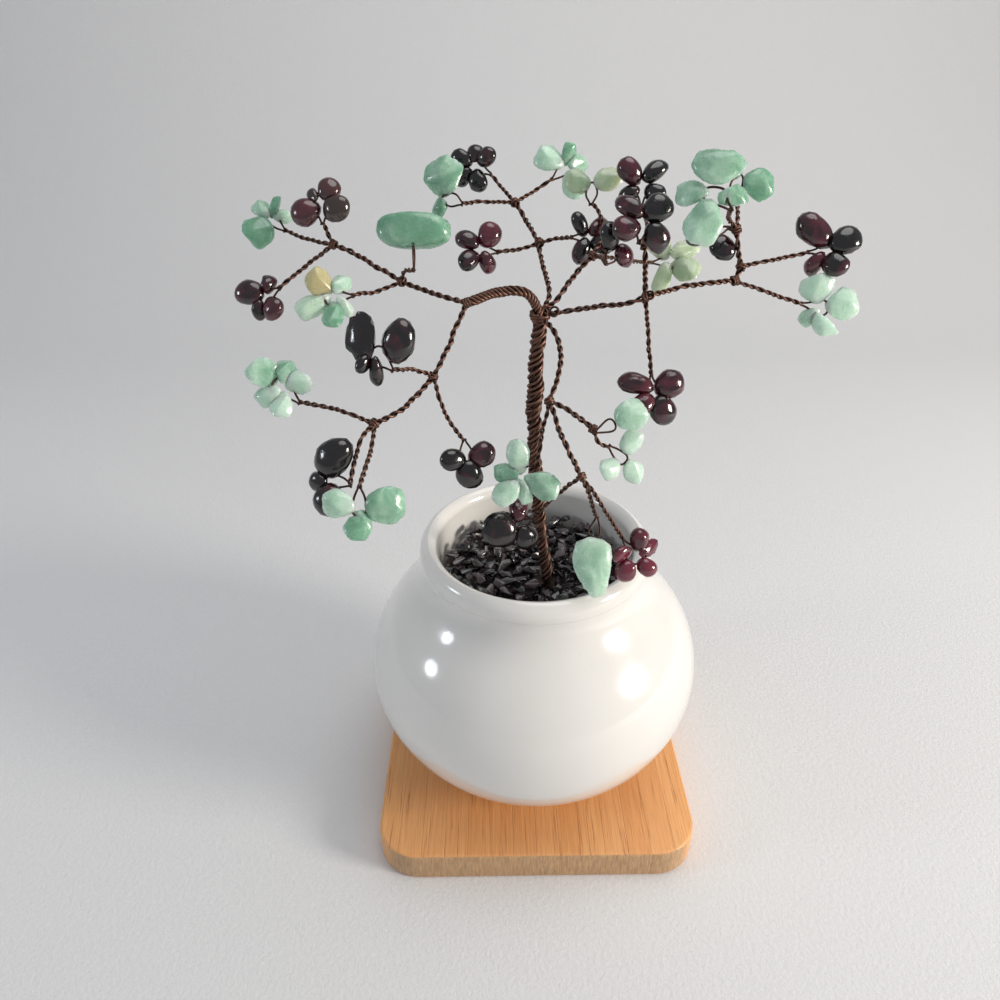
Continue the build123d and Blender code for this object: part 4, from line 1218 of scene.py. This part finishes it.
class WireMesh:
    """Tubes gathered into one mesh, with places given in shares of the crown or another frame."""

    def __init__(self, frame_place=crown_place):
        self.frame_place = frame_place
        self.points, self.faces, self.wear_and_sheen = [], [], []

    def route(self, places):
        """Places, with those that are given as three shares worked out."""
        return [place if isinstance(place, Vector) else self.frame_place(*place) for place in places]

    def tube(self, path, radius, outward=None, around=tube_sides):
        """A round wire along a path, with closed ends."""
        sides, ups = carried_frame(path)
        angles = math.tau * np.arange(around) / around
        ring = np.cos(angles)[None, :, None] * sides[:, None, :]
        ring += np.sin(angles)[None, :, None] * ups[:, None, :]
        # An even tube gets one middle value; otherwise the side that faces out gets the painted sheen
        # and the side that faces the other wires the painted shade.
        if outward is None:
            wear_and_sheen = np.full(ring.shape[:2], even_wear_and_sheen)
        else:
            wear_and_sheen = 0.5 + 0.5 * (ring * outward[:, None, :]).sum(axis=2)
        first = len(self.points)
        self.points += list((path[:, None, :] + radius * ring).reshape(-1, 3))
        self.wear_and_sheen += list(wear_and_sheen.reshape(-1))
        for face in join_rings(len(path), around):
            self.faces.append(tuple(first + corner for corner in face))
        self.faces.append(tuple(first + corner for corner in reversed(range(around))))
        last = first + (len(path) - 1) * around
        self.faces.append(tuple(last + corner for corner in range(around)))

    def piece(self, name, node):
        """The gathered tubes as one piece that stands for a CAD node."""
        piece = new_piece(name, self.points, self.faces, copper, "pot")
        keep_value(piece, "wear_and_sheen", self.wear_and_sheen)
        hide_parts(node)
        return piece


# %% Helper for knots
steps_per_turn = 18
wrap_swell = 0.06
wrap_beat = 2.3


def wrap(wires, centre, along, radius, turns, pitch, wire, turn=0.0):
    """Turns of one wire wound round a bundle."""
    along = along.normalized()
    side = along.orthogonal().normalized()
    up = along.cross(side)
    steps = int(turns * steps_per_turn)
    path = []
    for step in range(steps + 1):
        angle = math.tau * turns * step / steps + turn
        rise = pitch * turns * (step / steps - 0.5)
        swell = radius * (1 + wrap_swell * math.sin(wrap_beat * angle))
        path.append(centre + along * rise + (side * math.cos(angle) + up * math.sin(angle)) * swell)
    path = np.array([place[:] for place in path])
    outward = path - np.array(centre)
    outward /= np.linalg.norm(outward, axis=1, keepdims=True)
    wires.tube(path, wire, outward)


# %% [markdown]
# ## Trunk
#
# The trunk is all the twigs' wires together. They come up in five strands, each two wires laid at a
# long pitch, and the strands go round each other at a steep angle. A rope is modelled the same way:
# a helix of helices. It leans and bows a little, and it grows thicker towards the crown, where the
# wires gather. Its strands run down into the gravel.

# %% Trunk
strand_count = 5
strand_offset = 0.98 * MM
strand_pitch = 8.0 * MM
strand_wire = 0.33 * MM
inner_offset = 0.3 * MM
inner_pitch = 6.4 * MM
inner_waver = 0.3 * MM
trunk_unevenness = 1.2
trunk_core = 0.6 * MM
trunk_root = 5 * MM
wire_step = 0.3 * MM
foot_girth, top_girth = 0.78, 1.1
crown = crown_place(0.0, -0.05, 0.0)
trunk_bow = -0.034 * crown_reach
trunk_places = []
for part in range(9):
    rise = part / 8
    straight = trunk_foot.lerp(crown, rise)
    trunk_places.append(straight + Vector((trunk_bow * math.sin(math.pi * rise), 0, 0)))
trunk_places.insert(0, trunk_foot - Vector((0, 0, trunk_root)))
trunk_wires = WireMesh()
trunk_path = soft_route(trunk_places, wire_step)
girth = np.linspace(foot_girth, top_girth, len(trunk_path))[:, None]
strands = twisted(
    trunk_path, strand_count, strand_offset * girth, strand_pitch, unevenness=trunk_unevenness,
)
for strand, strand_out in strands:
    pair = twisted(
        strand, 2, inner_offset * girth, inner_pitch, unevenness=trunk_unevenness, waver=inner_waver,
    )
    for path, outward in pair:
        trunk_wires.tube(path, strand_wire, 0.5 * outward + 0.6 * strand_out)
trunk_wires.tube(trunk_path, trunk_core, np.zeros_like(trunk_path))
trunk = trunk_wires.piece("laid_trunk_strands", "trunk_strands")
print("Trunk points:", len(trunk.data.vertices))

# %% [markdown]
# ## Crown knot
#
# Where the boughs leave the trunk the maker wound wire tightly round them all. Four short windings,
# one level and three on tilted axes, give the lump its crossing turns. A ring of wire stands out to
# the right.

# %% Crown knot: tilt, spin, radius and number of turns of each winding
windings = ((6, 0, 1.75, 2.6), (35, 40, 1.6, 2.5), (-40, 150, 1.6, 2.5), (70, 250, 1.4, 2.0))
knot_wires = WireMesh()
for tilt, spin, radius, turns in windings:
    tilted = Matrix.Rotation(math.radians(tilt), 3, "X") @ Vector((0, 0, 1))
    axis = Matrix.Rotation(math.radians(spin), 3, "Z") @ tilted
    wrap(knot_wires, crown, axis, radius * MM, turns, 0.5 * MM, 0.26 * MM, turn=spin)
ring_place = crown + Vector((2.6, -0.8, 1.0)) * MM
wrap(knot_wires, ring_place, Vector((0.2, 1.0, -0.5)), 0.85 * MM, 1.6, 0.35 * MM, 0.22 * MM)
crown_knot = knot_wires.piece("wound_crown_knot", "crown_knot")
print("Crown knot points:", len(crown_knot.data.vertices))

# %% [markdown]
# ## Boughs and twigs
#
# Each branch is a few thick bundles from fork to fork, then one twisted pair to each cluster. The
# pair is really one wire: it was threaded through the stones, bent into a loop, and its two ends
# twisted together. So the pair's last turn is made to meet the two legs of the loop. The places are
# the CAD model's. Each group of three numbers is one of them, in shares of the crown's reach, or of
# the pot's mouth and the trunk's height on the low front branch.

# %% Forks
left = crown_place(-0.23, -0.07, 0.05)
upper_left = crown_place(-0.44, 0.03, 0.09)
outer_left = crown_place(-0.67, 0.15, 0.18)
lower_left = crown_place(-0.34, -0.18, -0.15)
low_left = crown_place(-0.51, -0.35, -0.23)
back = crown_place(0.01, 0.23, 0.16)
back_top = crown_place(-0.07, 0.40, 0.26)
middle = crown_place(0.17, 0.05, 0.16)
right = crown_place(0.32, -0.10, 0.07)
right_up = crown_place(0.32, -0.03, 0.21)
outer_right = crown_place(0.62, 0.0, 0.09)
tip_right = crown_place(0.64, 0.02, 0.13)
top_right = crown_place(0.61, 0.03, 0.24)
front = front_place(0.06, -0.62, 0.78)
front_right = front_place(0.42, -0.79, 0.71)
front_low = front_place(0.32, -0.95, 0.57)

# %% Helpers for branches
pair_pitch = 3.1 * MM
pair_wire = 0.235 * MM
pair_step = 0.28 * MM
loop_step = 0.2 * MM
leg_overlap = 0.5 * MM
bundle_wire = 0.28 * MM
bundle_pitch = 3.3 * MM
knot_radius = 0.78 * MM
knot_wire = 0.22 * MM


def bundle(wires, *places, count=2, wire=bundle_wire, offset=bundle_wire, pitch=bundle_pitch):
    """A thicker bundle from fork to fork."""
    for path, outward in twisted(soft_route(wires.route(places), wire_step), count, offset, pitch):
        wires.tube(path, wire, outward)


def twig(wires, start, name, *bends):
    """A twisted pair from a fork, and the loop that it opens into."""
    loop = loops[name]
    path = soft_route([start, *wires.route(bends), loop.twig_end], pair_step)
    for leg, outward in twisted(path, 2, pair_wire, pair_pitch, end_side=np.array(loop.side)):
        wires.tube(leg, pair_wire, outward)
    lead = (loop.twig_end - loop.corners[0]).normalized() * leg_overlap
    first = loop.twig_end + loop.side
    last = loop.twig_end - loop.side
    bent = [first + lead, first, *loop.corners, last, last + lead]
    wires.tube(soft_route(bent, loop_step), wire_radius)


def knot(wires, place, before):
    """Turns where wires part: some in line with the bundle that arrives, some tilted over them."""
    spin = 900 * (place.x + place.y + place.z)
    wrap(wires, place, place - before, knot_radius, 2.6, 0.46 * MM, knot_wire, turn=spin)
    tilted = (place - before).normalized() + Vector((0.5 * math.sin(spin), 0.4, 0.5 * math.cos(spin)))
    wrap(wires, place, tilted, knot_radius, 1.4, 0.5 * MM, knot_wire, turn=2 * spin)


def eyelet(wires, place):
    """A small open ring of wire that sticks up from a fork."""
    beside = place + Vector((0.7, -0.5, 0.5)) * MM
    wrap(wires, beside, Vector((0.15, 1.0, -0.5)), 0.75 * MM, 1.3, 0.35 * MM, wire_radius)


# %% [markdown]
# ### Left side
#
# The left bough is the thickest: five wires laid round a core arch over from the crown before the
# branch splits.

# %% Left bough and its two branches
bough_wires = WireMesh()
bough_core = 0.45 * MM
core_step = 0.5 * MM
bough_bend = crown_place(-0.16, -0.06, 0.07)
bough_places = bough_wires.route([
    crown, (-0.02, -0.05, 0.05), (-0.05, -0.05, 0.08), (-0.11, -0.05, 0.08), bough_bend, left,
])
bundle(bough_wires, *bough_places, count=5, wire=0.29 * MM, offset=0.66 * MM, pitch=4.2 * MM)
bough_wires.tube(soft_route(bough_places, core_step), bough_core)
knot(bough_wires, left, bough_bend)
bough_wires.piece("laid_left_bough", "left_bough_wires")

upper_wires = WireMesh()
bundle(upper_wires, left, (-0.32, -0.03, 0.06), (-0.40, 0.01, 0.08), upper_left)
bundle(upper_wires, upper_left, (-0.51, 0.07, 0.12), (-0.60, 0.12, 0.16), outer_left)
twig(upper_wires, upper_left, "long_green_stone", (-0.43, 0.01, 0.13))
twig(upper_wires, upper_left, "left_quartz_chips", (-0.50, 0.0, 0.07))
twig(upper_wires, outer_left, "upper_left_garnets", (-0.69, 0.16, 0.22))
twig(upper_wires, outer_left, "far_left_green_chips", (-0.76, 0.18, 0.19))
twig(upper_wires, outer_left, "left_garnets", (-0.75, 0.13, 0.13))
knot(upper_wires, upper_left, left)
knot(upper_wires, outer_left, upper_left)
upper_wires.piece("twisted_upper_left_branch", "upper_left_branch_wires")

lower_wires = WireMesh()
bundle(lower_wires, left, (-0.27, -0.10, -0.03), (-0.31, -0.15, -0.11), lower_left)
bundle(lower_wires, lower_left, (-0.39, -0.25, -0.19), (-0.45, -0.31, -0.22), low_left)
twig(lower_wires, lower_left, "middle_left_garnets", (-0.38, -0.22, -0.11))
twig(lower_wires, lower_left, "inner_left_garnets", (-0.32, -0.20, -0.22), (-0.30, -0.20, -0.29))
twig(lower_wires, low_left, "lower_left_green_chips", (-0.59, -0.35, -0.19), (-0.65, -0.33, -0.18))
twig(lower_wires, low_left, "low_left_garnets", (-0.55, -0.40, -0.25))
twig(lower_wires, low_left, "low_left_green_chips", (-0.51, -0.43, -0.27))
knot(lower_wires, lower_left, left)
knot(lower_wires, low_left, lower_left)
lower_wires.piece("twisted_lower_left_branch", "lower_left_branch_wires")
left_points = len(bough_wires.points) + len(upper_wires.points) + len(lower_wires.points)
print("Left side:", left_points, "points")

# %% Back and middle branches
back_wires = WireMesh()
bundle(back_wires, crown, (0.04, 0.0, 0.05), (0.02, 0.12, 0.10), (0.01, 0.19, 0.14), back)
bundle(back_wires, back, (-0.03, 0.33, 0.21), back_top)
twig(back_wires, back, "upper_middle_garnets", (-0.06, 0.22, 0.14))
twig(back_wires, back, "crown_middle_garnets", (0.06, 0.21, 0.18))
twig(back_wires, back_top, "upper_green_chip_pair", (-0.16, 0.37, 0.27))
twig(back_wires, back_top, "back_top_garnets", (-0.10, 0.44, 0.29))
twig(back_wires, back_top, "top_green_chips", (-0.02, 0.43, 0.28))
knot(back_wires, back, crown)
knot(back_wires, back_top, back)
back_wires.piece("twisted_back_branch", "back_branch_wires")

middle_wires = WireMesh()
bundle(middle_wires, crown, (0.06, -0.01, 0.04), (0.10, 0.03, 0.09), middle)
twig(middle_wires, middle, "pale_top_chips", (0.22, 0.13, 0.22), (0.20, 0.23, 0.27))
twig(middle_wires, middle, "front_crown_garnet_pair", (0.19, 0.01, 0.17))
twig(middle_wires, middle, "pale_back_chips", (0.24, 0.15, 0.13), (0.34, 0.28, 0.08))
knot(middle_wires, middle, crown)
middle_wires.piece("twisted_middle_branch", "middle_branch_wires")
print("Back and middle:", len(back_wires.points) + len(middle_wires.points), "points")

# %% Right branch and its tip
right_wires = WireMesh()
bundle(right_wires, crown, (0.08, -0.07, 0.02), (0.19, -0.09, 0.04), (0.27, -0.10, 0.05), right)
bundle(right_wires, right, (0.32, -0.06, 0.14), right_up)
bundle(right_wires, right, (0.39, -0.07, 0.08), (0.50, -0.03, 0.09), outer_right)
twig(right_wires, right_up, "high_right_garnets", (0.34, 0.06, 0.25))
twig(right_wires, right_up, "right_crown_garnets", (0.31, -0.05, 0.23))
twig(right_wires, right, "middle_right_garnets", (0.33, -0.14, -0.02))
knot(right_wires, right, crown)
eyelet(right_wires, right)
knot(right_wires, right_up, right)
knot(right_wires, outer_right, right)
right_wires.piece("twisted_right_branch", "right_branch_wires")

tip_wires = WireMesh()
bundle(tip_wires, outer_right, tip_right)
bundle(tip_wires, tip_right, (0.62, 0.03, 0.20), top_right)
twig(tip_wires, tip_right, "far_right_garnets", (0.73, 0.04, 0.14))
twig(tip_wires, outer_right, "right_green_chips", (0.71, -0.01, 0.06))
twig(tip_wires, top_right, "inner_right_garnets")
twig(tip_wires, top_right, "high_right_green_chips", (0.57, 0.0, 0.28))
twig(tip_wires, top_right, "far_right_green_pair", (0.63, 0.10, 0.30))
knot(tip_wires, tip_right, outer_right)
knot(tip_wires, top_right, tip_right)
tip_wires.piece("twisted_right_tip", "right_tip_wires")
print("Right side:", len(right_wires.points) + len(tip_wires.points), "points")

# %% Low front branch
front_wires = WireMesh(front_place)
bundle(front_wires, crown, (0.13, -0.33, 0.97), (0.17, -0.48, 0.90), (0.12, -0.57, 0.83), front)
bundle(front_wires, front, (0.16, -0.75, 0.68), (0.25, -0.88, 0.62), front_low)
bundle(front_wires, front, (0.23, -0.70, 0.76), front_right)
twig(front_wires, front_right, "front_loose_green_stone")
twig(front_wires, front_right, "front_green_chips", (0.45, -0.80, 0.66))
twig(front_wires, front, "trunk_green_chips", (0.0, -0.70, 0.67))
twig(front_wires, front_low, "low_front_garnets", (0.19, -0.88, 0.51), (0.05, -0.75, 0.42))
twig(front_wires, front_low, "hanging_green_stone", (0.40, -0.96, 0.50))
twig(front_wires, front_low, "lip_garnets", (0.50, -0.95, 0.47))
knot(front_wires, front, crown)
knot(front_wires, front_right, front)
knot(front_wires, front_low, front)
front_wires.piece("twisted_front_branch", "front_branch_wires")
print("Front branch:", len(front_wires.points), "points")

# %% [markdown]
# ## Floor, backdrop and light
#
# A product picture stands on a sweep: a sheet that lies flat and curves up behind, so no horizon
# shows. It is a little darker than the pot, which lets the white glaze stand out. One soft warm key
# light shines low from the right, a weaker cool one from the left, a broad one from above. The world
# fills the rest. Nothing is so bright that the white glaze loses its shading. Sizes here are in
# metres and power is in watts.

# %% Sweep, in metres
sweep_front = -0.9
sweep_flat_end = 0.3
sweep_curve = 0.35
sweep_height = 1.8
sweep_half_width = 4.0
curve_steps = 16
sweep_profile = [(sweep_front, 0.0), (sweep_flat_end, 0.0)]
for step in range(1, curve_steps + 1):
    turn_up = math.pi / 2 * step / curve_steps
    depth = sweep_flat_end + sweep_curve * math.sin(turn_up)
    sweep_profile.append((depth, sweep_curve * (1 - math.cos(turn_up))))
sweep_profile.append((sweep_flat_end + sweep_curve, sweep_height))
sweep_sides = (-sweep_half_width, sweep_half_width)
sweep_points = [(x, y, z) for y, z in sweep_profile for x in sweep_sides]
sweep_rows = range(len(sweep_profile) - 1)
sweep_faces = [(2 * row, 2 * row + 1, 2 * row + 3, 2 * row + 2) for row in sweep_rows]
sweep_mesh = bpy.data.meshes.new("sweep")
sweep_mesh.from_pydata(sweep_points, [], sweep_faces)
sweep_mesh.polygons.foreach_set("use_smooth", [True] * len(sweep_faces))
sweep = bpy.data.objects.new("sweep", sweep_mesh)
bpy.context.collection.objects.link(sweep)
paper, tree, shader = new_material("sweep paper", {"Roughness": 0.95, "IOR": 1.3})
fibre = soft_noise(tree, object_place(tree), 900.0, detail=4.0, roughness=0.7)
fill(shader, {"Base Color": blend_colours(tree, fibre, colour(222, 222, 223), colour(230, 230, 230))})
raise_surface(tree, shader, fibre, 0.2 * MM)
sweep_mesh.materials.append(paper)
print("Sweep rows:", len(sweep_profile))


# %% Lights
def soft_light(name, place, target, size, power, tint):
    """A round soft light that faces a place."""
    light = bpy.data.lights.new(name, "AREA")
    light.shape = "DISK"
    light.size = size
    light.energy = power
    light.color = tint
    holder = bpy.data.objects.new(name, light)
    holder.location = place
    holder.rotation_euler = (Vector(target) - Vector(place)).to_track_quat("-Z", "Y").to_euler()
    bpy.context.collection.objects.link(holder)


tree_middle = (0.0, 0.0, 0.08)
soft_light("key", (0.6, -0.24, 0.24), tree_middle, 0.2, 3.6, (1.0, 0.93, 0.84))
soft_light("fill", (-0.6, -0.12, 0.26), tree_middle, 0.12, 0.5, (0.88, 0.93, 1.0))
soft_light("top", (0.15, 0.05, 0.8), tree_middle, 0.6, 2.0, (1.0, 0.99, 0.97))
world = bpy.data.worlds.new("room")
world.use_nodes = True
fill(world.node_tree.nodes["Background"], {"Color": (0.9, 0.94, 1.0, 1.0), "Strength": 0.34})
bpy.context.scene.world = world
print("Lights:", len(bpy.data.lights))
